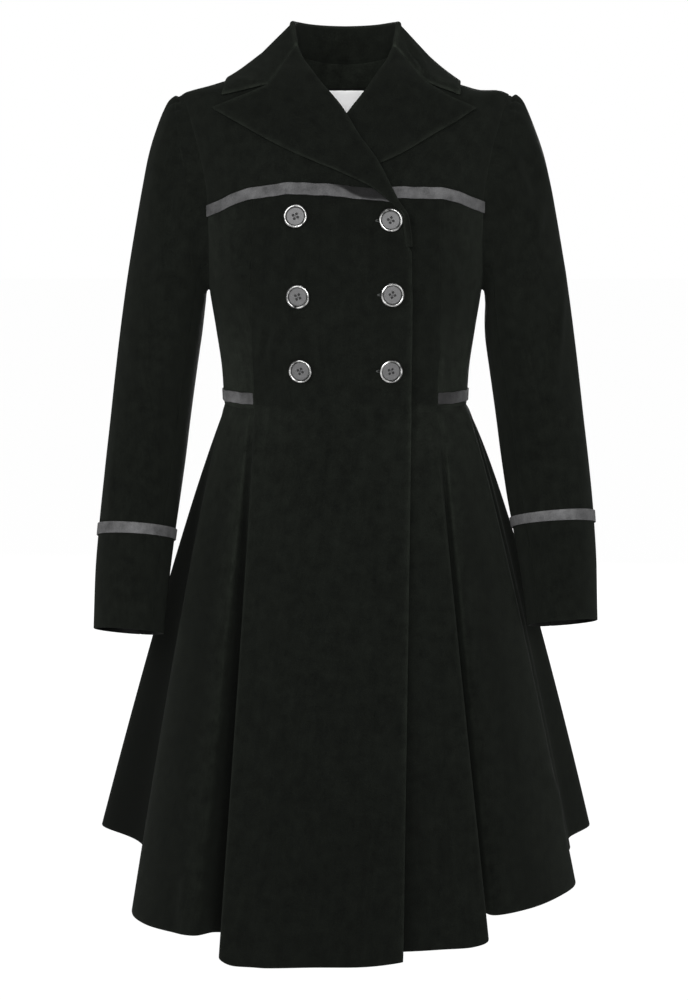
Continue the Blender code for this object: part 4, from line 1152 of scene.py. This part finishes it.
# roll's distance from the centre, roll's height, roll radius, gap at the fold
LAPEL_ROLL = (
    (0.0525, -0.0010, 0.0023, 0.0023), (0.0445, -0.0180, 0.0023, 0.0023),
    (0.0370, -0.0295, 0.0023, 0.0023), (0.0285, -0.0420, 0.0023, 0.0023),
    (0.0060, -0.0705, 0.0023, 0.0023), (-0.0103, -0.0975, 0.0023, 0.0023),
    (-0.0283, -0.1225, 0.0023, 0.0023), (-0.0411, -0.1470, 0.0023, 0.0023),
    (-0.0512, -0.1660, 0.0021, 0.0021), (-0.0557, -0.1712, 0.0017, 0.0021),
    (-0.0593, -0.1767, 0.0012, 0.0027), (-0.0608, -0.1872, 0.0011, 0.0031),
    (-0.0625, -0.1964, 0.0011, 0.0027), (-0.0631, -0.2069, 0.0010, 0.0026),
)
# distance from the centre, height
LAPEL_LOWER = (
    (0.1150, -0.0771), (0.0963, -0.0880), (0.0750, -0.1003), (0.0563, -0.1110), (0.0310, -0.1225),
    (0.0057, -0.1330), (-0.0300, -0.1503), (-0.0455, -0.1638), (-0.0546, -0.1716), (-0.0577, -0.1771),
    (-0.0584, -0.1874), (-0.0600, -0.1965), (-0.0610, -0.2069),
)
LAPEL_NOTCH = {"right": (0.0803, -0.0405), "left": (0.0823, -0.0330)}
LAPEL_POINT = {"right": (0.1390, -0.0630), "left": (0.1360, -0.0610)}
COLLAR_POINT = {"right": (0.1290, -0.0500), "left": (0.1190, -0.0455)}
# angle at the roll, height of the roll, angle of the outer edge, height of the outer edge
COLLAR = (
    (180.0, 0.0275, 180.0, -0.0540),
    (150.0, 0.0280, 158.0, -0.0475),
    (120.0, 0.0285, 128.0, -0.0375),
    (92.0, 0.0275, 94.0, -0.0290),
    (70.0, 0.0150, 68.0, -0.0330),
)
# painted light: the collar's inside and the stand lightened against the neck's shade, and the collar's outer
# side a little paler
COLLAR_END, INSIDE_LIGHT, COLLAR_LIGHT, STAND_LIGHT = 0.8, 1.35, 1.15, 2.3
COLLAR_CREASES = (
    (0.0660, 0.0120, 0.0770, -0.0030, 0.0870, -0.0250, 0.0022, 0.0014),
    (0.0640, 0.0050, 0.0730, -0.0080, 0.0830, -0.0260, 0.0018, -0.0012),
    (0.0730, -0.0100, 0.0760, -0.0160, 0.0790, -0.0240, 0.0018, 0.0012),
    (0.0880, -0.0270, 0.1000, -0.0340, 0.1130, -0.0380, 0.0024, 0.0010),
    (-0.1170, -0.0320, -0.1000, -0.0335, -0.0850, -0.0350, 0.0026, 0.0012),
    (-0.1050, -0.0180, -0.0980, -0.0205, -0.0900, -0.0215, 0.0026, 0.0009),
)


def gorge(side, tip):
    """The edge shared by lapel and collar, straight from the roll to the notch and straight on to a point."""
    a, b, c = np.array(LAPEL_ROLL[0][:2]), np.array(LAPEL_NOTCH[side]), np.array(tip)
    first, second = np.linalg.norm(b - a), np.linalg.norm(c - b)
    to_notch, on = np.linspace(0, 1, 17), np.linspace(0, 1, 17)[1:]
    share = np.concatenate([to_notch * first, first + on * second]) / (first + second)
    points = np.concatenate([lerp(a, b, to_notch[:, None]), lerp(b, c, on[:, None])])
    return share, points[:, 0], points[:, 1]


def rolled(edge, normal, flat, radius, gap, square, steps=10):
    """Points that turn over a fold: half a circle from the edge to the flat, then out along the flat.

    The fold pulls away from the flat, or at right angles to the edge where square is 1.
    """
    pull = edge - flat[:, 4]
    pull = unit(pull - normal * np.sum(pull * normal, axis=-1, keepdims=True))
    across = unit(np.cross(normal, np.gradient(edge, axis=0)))
    across *= np.sign(np.sum(across * pull, axis=-1, keepdims=True))
    pull = unit(lerp(pull, across, square))
    bend = np.linspace(-math.pi / 2, math.pi / 2, steps + 1)[:-1]
    edge = edge + pull * gap
    over = [edge + pull * radius * math.cos(b) + normal * radius * (1 + math.sin(b)) for b in bend]
    return np.concatenate([np.stack(over, axis=1), flat], axis=1)


def lapel(side):
    """Flat points run straight from the roll line to the lower edge, bent near the top to meet the gorge."""
    rows = np.arange(len(LAPEL_ROLL))
    at = np.linspace(0, rows[-1], 118)
    along = at / at[-1]
    share, top_x, top_z = gorge(side, LAPEL_POINT[side])
    table = through(rows, LAPEL_ROLL, at)
    roll, radius, gap = table[:, :2], table[:, 2:3], table[:, 3:]
    lower = through(rows, (LAPEL_POINT[side], *LAPEL_LOWER), at)
    flat = roll[:, None] + (lower - roll)[:, None] * share[None, :, None]
    top = np.stack([top_x, top_z], axis=-1)
    flat += (top - flat[0])[None] * ((1 - along) ** 2)[:, None, None]
    x, z = flat[..., 0], flat[..., 1]
    edge = on_front(side, x[:, 0], z[:, 0])
    normal = outward(angle_at(SIDE[side] * x[:, 0], z[:, 0]), z[:, 0])
    grid = rolled(edge, normal, on_front(side, x, z, 2 * radius), radius, gap, ease(along / 0.3)[:, None])
    # painted shade: the lapel darker, and darker still towards its tail
    velvet_piece("lapel_" + side, grid, {},
                 {"top": PLEAT_TRIM, "bottom": SEWN, "left": SEWN, "right": LAPEL_TRIM},
                 light=lerp(LAPEL_LIGHT, TAIL_LIGHT, ease((along - TAIL_FROM) / TAIL_RUN))[:, None],
                 glow={"top": EDGE_GLOW, "right": EDGE_GLOW})


def collar_table(along):
    """Collar sizes at places from -1, the right gorge, over 0, the centre back, to 1, the left gorge."""
    gorge_z = LAPEL_ROLL[0][1]
    gorge_angle = math.degrees(float(angle_at(LAPEL_ROLL[0][0], gorge_z)))
    point_x, point_z = COLLAR_POINT["right"]
    point_angle = math.degrees(float(angle_at(point_x, point_z)))
    rows = np.array(COLLAR + ((gorge_angle, gorge_z, point_angle, point_z),))
    shape = through(np.linspace(0, 1, len(rows)), rows, np.abs(along))
    roll_angle, roll_z, edge_a, edge_z = np.moveaxis(shape, -1, 0)
    last = ring(np.radians(COLLAR[-1][2]), COLLAR[-1][3])[0]
    near = np.clip((np.abs(along) - COLLAR_END) / (1 - COLLAR_END), 0, 1)
    straight = np.degrees(angle_at(lerp(last, point_x, near), edge_z))
    edge_a = np.where(near > 0, straight, edge_a)
    turn = np.where(along < 0, -1.0, 1.0)
    return np.radians(roll_angle) * turn, roll_z, np.radians(edge_a) * turn, edge_z


def stand_top(angle, roll_z):
    """Height of the seam between the stand and the collar."""
    return lerp(neck_z(angle), roll_z, STAND_SHARE)


def collar():
    """Rows run round the neck; columns rise inside it, turn over the roll and fall to the outer edge."""
    along = np.linspace(-1, 1, 225)
    share, _, _ = gorge("right", COLLAR_POINT["right"])
    roll_angle, roll_z, edge_a, edge_z = collar_table(along)
    edge, normal = ring(roll_angle, roll_z), outward(roll_angle, roll_z)
    outer = body(edge_a, edge_z, COLLAR_OUT)
    start = edge + normal * 2 * ROLL_RADIUS
    flat = start[:, None] + (outer - start)[:, None] * share[None, :, None]
    for end, side in ((0, "right"), (-1, "left")):
        _, x, z = gorge(side, COLLAR_POINT[side])
        change = on_front(side, x, z, LAPEL_OUT) - flat[end]
        flat += change[None] * (np.clip(along * SIDE[side], 0, 1) ** 4)[:, None, None]
    folded = rolled(edge, normal, flat, ROLL_RADIUS, FOLD_GAP, 0.0)
    rise = np.linspace(0, 1, 11)[:-1]
    seam_z = stand_top(roll_angle, roll_z)
    inner = ring(roll_angle[:, None], lerp(seam_z[:, None], roll_z[:, None], rise[None]))
    grid = np.concatenate([inner, folded], axis=1)
    # painted light lifts the collar's inside, where the neck is in shade
    velvet_piece("collar", grid, {},
                 {"top": PLEAT_TRIM, "bottom": PLEAT_TRIM, "left": SEWN, "right": CLOTH / 2}, COLLAR_CREASES,
                 light=lerp(INSIDE_LIGHT, COLLAR_LIGHT, ease(np.arange(grid.shape[1]) / 20 - 0.4))[None],
                 glow={"top": EDGE_GLOW, "bottom": EDGE_GLOW, "right": EDGE_GLOW})


def collar_stand():
    along = np.linspace(-1, 1, 145)
    roll_angle, roll_z, _, _ = collar_table(along)
    up = np.linspace(0, 1, 13)
    z = lerp(neck_z(roll_angle)[:, None], stand_top(roll_angle, roll_z)[:, None], up[None])
    grid = ring(roll_angle[:, None], z)
    # painted light lifts the stand, which sits in the neck's shade
    velvet_piece("collar_stand", grid, {},
                 {"left": PLEAT_TRIM, "right": SEWN, "top": SEWN, "bottom": SEWN}, looks=(VELVET,),
                 centre=2 * grid - axis_line(grid), light=STAND_LIGHT)


for wearer_side in SIDE:
    lapel(wearer_side)
collar()
collar_stand()

# %% [markdown]
# ## Ribbon and label
# Velvet ribbon lies along the yoke seams, round the waist and round each cuff. It is made from the points
# of the panel below it, moved out by its own half thickness, so it cannot float or sink. The label is a
# bare strip of satin inside the neck.

# %% Ribbons and label
YOKE_TRIM_START, WAIST_TRIM_UP = {"right": -0.0465, "left": -0.036}, 0.0055
CUFF_TRIM_STATION, CUFF_TRIM_SPAN = {"right": 12.08, "left": 11.96}, 0.105
LABEL_HALF_ANGLE, LABEL_TOP, LABEL_HEIGHT = 16.0, -0.0350, 0.0320
ACROSS_RIBBON = np.linspace(0.5, -0.5, 9)[:, None]
# Painted shadow of the lapel on the right yoke ribbon.
LAPEL_SHADE, SHADE_START, SHADE_RUN = {"right": 0.94, "left": 0.0}, 0.0105, 0.0290
SHADE_LOWEST, SHADE_SOFT = 0.06, 0.24
# painted shade at the waist ribbon's front ends: light at the front end, angle where it starts to grow,
# degrees that it grows over
WAIST_SHADE = {"left": (0.20, 48.0, 42.0), "right": (0.50, 46.0, 16.0)}
# Painted light for each ribbon, set for how the lamps fall on it: the yoke's darker, the waist's and cuffs'
# lighter.
RIBBON_LIGHT = {"yoke": 0.9, "waist": 1.3, "cuff": 1.08}


def ribbon_piece(node, grid, closed=False, centre=None, light=1.0):
    centre = axis_line(grid) if centre is None else centre
    piece = cloth_shell(node + "_ribbon", grid, RIBBON, (RIBBON_CLOTH,), centre, light, 0.8, closed)
    settle(piece, node)


def wavy(x):
    """A hand-sewn line's small wander: two sines of the distance along it."""
    return 0.00030 * np.sin(x / 0.0075) + 0.00018 * np.sin(x / 0.0031 + 1.0)


def yoke_trim(side):
    """Ribbon over the yoke seam, from the front edge to the armhole.

    The lapel's shadow is painted over it from the upper edge, lower and lower towards the front edge.
    """
    arm = ring(edge_angle(-0.168, True), -0.168)[0] - 0.0015
    x = np.linspace(YOKE_TRIM_START[side], arm, 170)
    spread = x[:, None] + np.linspace(-0.020, 0.020, 21)
    z = column(YOKE_SEAM[side], 0, 1, spread).mean(axis=1) + wavy(x) + ACROSS_RIBBON * RIBBON_WIDTH
    shade_edge = np.maximum(1 - (SHADE_START - x) / SHADE_RUN, SHADE_LOWEST)
    shaded = ease((ACROSS_RIBBON + 0.5 - shade_edge) / SHADE_SOFT + 0.5)
    light = RIBBON_LIGHT["yoke"] * (1 - LAPEL_SHADE[side] * shaded)
    limit = np.abs(ring(edge_angle(z, True), z)[..., 0]) - 0.0010
    ribbon_piece("yoke_trim_" + side, on_front(side, np.minimum(x, limit), z, RIBBON_OUT + SEAM),
                 light=light)


def waist_trim():
    """Ribbon just above the waist seam, from princess seam to princess seam round the back.

    Painted shade makes it darker towards each front end.
    """
    start = math.degrees(float(angle_at(PRINCESS[-1][1], WAIST_Z)))
    angle = np.radians(np.linspace(start + 0.3, 360 - start - 0.3, 320))
    z = WAIST_Z + WAIST_TRIM_UP + (ACROSS_RIBBON + 0.5) * RIBBON_WIDTH + wavy(angle[None] * 0.13)
    own = {"left": np.degrees(angle), "right": 360 - np.degrees(angle)}
    light = np.full(len(angle), RIBBON_LIGHT["waist"])
    for side, (darkest, first, run) in WAIST_SHADE.items():
        light = np.minimum(light, lerp(darkest, RIBBON_LIGHT["waist"], ease((own[side] - first) / run)))
    ribbon_piece("waist_trim", body(angle[None], z, RIBBON_OUT),
                 light=light[None])


def cuff_trim(side):
    stations = CUFF_TRIM_STATION[side] - 2 * ACROSS_RIBBON * CUFF_TRIM_SPAN
    turns = np.radians(np.arange(0, 360, 2.0))
    grid = sleeve(side, stations, turns[None], RIBBON_OUT + 0.0004)
    ribbon_piece("cuff_trim_" + side, grid, True, grid.mean(axis=1, keepdims=True),
                 RIBBON_LIGHT["cuff"])


def label():
    angle = math.pi + np.radians(np.linspace(-1, 1, 41)) * LABEL_HALF_ANGLE
    z = LABEL_TOP - np.linspace(0, 1, 25)[:, None] * LABEL_HEIGHT
    grid = body(angle[None], z, -(PACKED_HALF + 2 * SEAM + SATIN / 2))
    piece = cloth_shell("label_satin", grid, SATIN, (LABEL_CLOTH,), 2 * grid - axis_line(grid))
    settle(piece, "label")


for wearer_side in SIDE:
    yoke_trim(wearer_side)
    cuff_trim(wearer_side)
waist_trim()
label()

# %% [markdown]
# ## Buttons and buttonholes
# Each button is turned: a polished rounded rim, a thin groove and a flat satin face with four sewing holes.
# One height function of radius and angle gives all of it, so a polar grid is enough. Short thread bars
# cross between the holes, and a worked buttonhole peeps out beside the column near the front edge.

# %% Button materials


def polished_rim():
    """Bright nickel with faint waves left by the polishing wheel."""
    made, tree, shader = new_material("polished_rim")
    where = place(tree, "Object")
    wave = noise(tree, where, 260.0, 2.0)
    tinted(tree, shader, (0.60, 0.60, 0.59), scaled(tree, noise(tree, where, 150.0, 1.0), 1.9, -0.45))
    set_sockets(shader, {"Metallic": 1.0})
    tree.links.new(scaled(tree, noise(tree, where, 1500.0, 2.0), 0.10, 0.16), shader.inputs["Roughness"])
    bumped(tree, shader, wave, 0.0001)
    return made


def satin_face():
    """Matt grey face with a fine brushed grain."""
    made, tree, shader = new_material("satin_face")
    grain = noise(tree, place(tree, "Object"), 2600.0, 2.0)
    tinted(tree, shader, (0.072, 0.072, 0.073), scaled(tree, grain, 0.35, 0.82))
    set_sockets(shader, {"Roughness": 0.48, "Metallic": 0.25})
    bumped(tree, shader, grain, 0.0001)
    return made


def plain_thread(name, colour):
    """Twisted sewing thread: slanting light and dark turns."""
    made, tree, shader = new_material(name)
    turns = noise(tree, place(tree, "Object"), 3200.0, 2.0)
    tinted(tree, shader, colour, scaled(tree, turns, 0.6, 0.7))
    set_sockets(shader, {"Roughness": 0.75})
    bumped(tree, shader, turns, 0.0002)
    return made


def painted_shade_hollow():
    """Painted shade in the groove and the sewing holes, which hardly any light leaves."""
    made, tree, shader = new_material("painted_shade_hollow")
    shade = maths(tree, "ADD", noise(tree, place(tree, "Object"), 1800.0, 2.0), 0.5)
    tinted(tree, shader, (0.012, 0.012, 0.012), shade)
    set_sockets(shader, {"Roughness": 0.7})
    return made


RIM, FACE, HOLLOW_SHADE = polished_rim(), satin_face(), painted_shade_hollow()
THREAD = plain_thread("dark_thread", (0.030, 0.030, 0.030))
HOLE_THREAD = plain_thread("black_thread", (0.020, 0.022, 0.020))
print("button finishes:", RIM.name, FACE.name, HOLLOW_SHADE.name, THREAD.name, HOLE_THREAD.name)

# %% Button shapes
# x, height, clearance over the cloth's curve
BUTTONS = (
    (-0.0505, -0.1771, 0.0006), (0.0455, -0.1810, 0.0006), (-0.0478, -0.2571, 0.0003),
    (0.0468, -0.2553, 0.0001), (-0.0453, -0.3340, 0.0006), (0.0455, -0.3342, 0.0006),
)
BUTTON_RADIUS, BUTTON_HEIGHT = 0.0125, 0.0036
HOLE_RADIUS, HOLE_PLACE, HOLE_TURN, HOLE_DEPTH = 0.00115, 0.0027, 22.0, 0.0016
FACE_SHARE, GROOVE_SHARE = 0.71, 0.765
BUTTON_SIDES, FACE_RINGS = 96, 45
THREAD_RADIUS, THREAD_STEPS, THREAD_SIDES = 0.00016, 15, 8
# share of the radius, share of the height, from the face's edge over the rim to the back
RIM_PROFILE = (
    (0.700, 0.55), (0.725, 0.54), (0.738, 0.44), (0.752, 0.44), (0.765, 0.62), (0.79, 0.84), (0.825, 0.96),
    (0.865, 1.00), (0.905, 0.985), (0.945, 0.92), (0.975, 0.80), (0.995, 0.64), (1.0, 0.48), (0.985, 0.30),
    (0.955, 0.12), (0.93, 0.0), (0.6, 0.0), (0.2, 0.0),
)


def hole_depth(x, y):
    """How far the face sinks: the sum of four round wells with soft edges."""
    turn = np.radians(HOLE_TURN + np.arange(4) * 90 + 45)
    gap = np.hypot(x[..., None] - HOLE_PLACE * np.cos(turn), y[..., None] - HOLE_PLACE * np.sin(turn))
    return HOLE_DEPTH * ease((HOLE_RADIUS * 1.25 - gap) / (HOLE_RADIUS * 0.5)).sum(axis=-1)


def tube(path, radius, sides, closed=False):
    """A round tube along a path: circles across the path's direction, with a fixed upward vector."""
    way = np.roll(path, -1, 0) - np.roll(path, 1, 0) if closed else np.gradient(path, axis=0)
    way = unit(way)
    across = unit(np.cross(way, np.array([0.0, 0.0, 1.0])))
    up = np.cross(across, way)
    turn = np.linspace(0, 2 * math.pi, sides, endpoint=False)
    circle = across[:, None] * np.cos(turn)[None, :, None] + up[:, None] * np.sin(turn)[None, :, None]
    return path[:, None] + circle * np.broadcast_to(radius, len(path))[:, None, None]


def tube_faces(rows, sides, closed, start):
    number = np.arange(rows * sides).reshape(rows, sides) + start
    number = np.concatenate([number, number[:, :1]], axis=1)
    if closed:
        number = np.concatenate([number, number[:1]], axis=0)
    return quads(number)[:, ::-1]


def button_mesh():
    """Polar grid: the face with its wells inside, then the rim's profile turned round the middle."""
    turns = BUTTON_SIDES
    angle = np.linspace(0, 2 * math.pi, turns, endpoint=False)
    inner = np.linspace(0, RIM_PROFILE[0][0], FACE_RINGS)[1:-1]
    profile = np.array([(r, RIM_PROFILE[0][1]) for r in inner] + list(RIM_PROFILE))
    radius, height = profile[:, :1] * BUTTON_RADIUS, profile[:, 1:] * BUTTON_HEIGHT
    x, y = radius * np.cos(angle), radius * np.sin(angle)
    z = np.repeat(height, turns, 1)
    z[:len(inner)] -= hole_depth(x, y)[:len(inner)]
    ends = np.array([[0, 0, RIM_PROFILE[0][1] * BUTTON_HEIGHT], [0, 0, 0]])
    points = [np.stack([x, y, z], -1).reshape(-1, 3), ends]
    count = len(profile) * turns
    number = np.arange(count).reshape(-1, turns)
    number = np.concatenate([number, number[:, :1]], axis=1)
    faces = [tuple(f) for f in quads(number)]
    share = np.repeat(profile[:-1, 0], turns)
    # slot 3 paints shade into the groove here and, below, into the sewing holes
    slots = np.where(share < FACE_SHARE, 1, np.where(share < GROOVE_SHARE, 3, 0))
    sunk = np.zeros_like(z)
    sunk[:len(inner)] = hole_depth(x, y)[:len(inner)]
    slots[(sunk[:-1] > HOLE_DEPTH * 0.4).reshape(-1)] = 3
    slots[np.repeat(np.arange(len(profile) - 1), turns) > len(profile) - 4] = 0
    faces += [(count, a, b) for a, b in zip(number[0, :-1], number[0, 1:])]
    faces += [(count + 1, b, a) for a, b in zip(number[-1, :-1], number[-1, 1:])]
    slots = list(slots) + [1] * turns + [0] * turns
    start = count + 2
    for bar in (0, 1):
        turn = math.radians(HOLE_TURN + 45 + bar * 90)
        t = np.linspace(-1, 1, THREAD_STEPS)
        lift = RIM_PROFILE[0][1] * BUTTON_HEIGHT + 0.0001 + bar * 0.0003 - 0.0016 * np.abs(t) ** 4
        path = np.stack([t * HOLE_PLACE * math.cos(turn), t * HOLE_PLACE * math.sin(turn), lift], -1)
        points.append(tube(path, THREAD_RADIUS, THREAD_SIDES).reshape(-1, 3))
        made = tube_faces(THREAD_STEPS, THREAD_SIDES, False, start)
        faces += [tuple(f) for f in made]
        caps = start + np.arange(THREAD_STEPS * THREAD_SIDES).reshape(THREAD_STEPS, THREAD_SIDES)[[0, -1]]
        faces += [tuple(caps[0]), tuple(caps[1][::-1])]
        slots += [2] * (len(made) + 2)
        start += THREAD_STEPS * THREAD_SIDES
    return np.concatenate(points), faces, slots


def on_coat(points, x, z, stand):
    """Points given in a flat button's own frame, set on the right front at x and z."""
    face = outward(angle_at(np.array(x), np.array(z)), np.array(z))
    right = unit(np.cross(np.array([0.0, 0.0, 1.0]), face))
    up = np.cross(face, right)
    base = on_front("right", -x, z) + face * stand
    return base + points @ np.stack([right, up, face])


def rigid_piece(name, points, faces, slots, looks):
    mesh = bpy.data.meshes.new(name)
    mesh.from_pydata(points.tolist(), [], [tuple(int(i) for i in f) for f in faces])
    for look in looks:
        mesh.materials.append(look)
    mesh.polygons.foreach_set("material_index", np.array(slots, np.int32))
    mesh.shade_smooth()
    return link(bpy.data.objects.new(name, mesh))


BUTTON_TURNS = (0, 8, -5, 12, 3, -9)


def buttons():
    points, faces, slots = button_mesh()
    for number, ((x, z, clear), turn) in enumerate(zip(BUTTONS, np.radians(BUTTON_TURNS)), start=1):
        c, s = math.cos(turn), math.sin(turn)
        spin = np.array([[c, s, 0], [-s, c, 0], [0, 0, 1]])
        placed = on_coat(points @ spin, x, z, PACKED_HALF + clear)
        piece = rigid_piece(f"button_{number}_metal", placed, faces, slots, (RIM, FACE, THREAD, HOLLOW_SHADE))
        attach(piece, "root")
        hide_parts(f"button_{number}")
    print(len(BUTTONS), "buttons of", len(faces), "faces")


buttons()

# %% Buttonholes
HOLE_START, HOLE_END = 0.0020, -0.0152
HOLE_HALF_WIDTH, HOLE_THREAD_RADIUS = 0.0010, 0.0005


def buttonholes():
    """A worked buttonhole: a thread-wrapped tube along a long narrow loop, thicker at its inner end."""
    t = np.linspace(0, 2 * math.pi, 120, endpoint=False)
    middle, half = (HOLE_START + HOLE_END) / 2, (HOLE_START - HOLE_END) / 2
    x = middle + half * np.sign(np.cos(t)) * np.abs(np.cos(t)) ** 0.35
    y = HOLE_HALF_WIDTH * np.sin(t)
    path = np.stack([x, y, np.full_like(t, 0.0003)], -1)
    wrap = HOLE_THREAD_RADIUS * (1 + 0.18 * np.sin(60 * t)) * (1 + 0.5 * ease((middle - x) / half - 0.6))
    strand = tube(path, wrap, 10, True)
    faces = tube_faces(len(t), 10, True, 0)
    for number, (x, z, _) in enumerate(BUTTONS[1::2], start=1):
        placed = on_coat(strand.reshape(-1, 3), x, z, 0.0008)
        piece = rigid_piece(f"buttonhole_{number}", placed, faces, [0] * len(faces), (HOLE_THREAD,))
        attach(piece, "root")
    print(number, "buttonholes")


buttonholes()
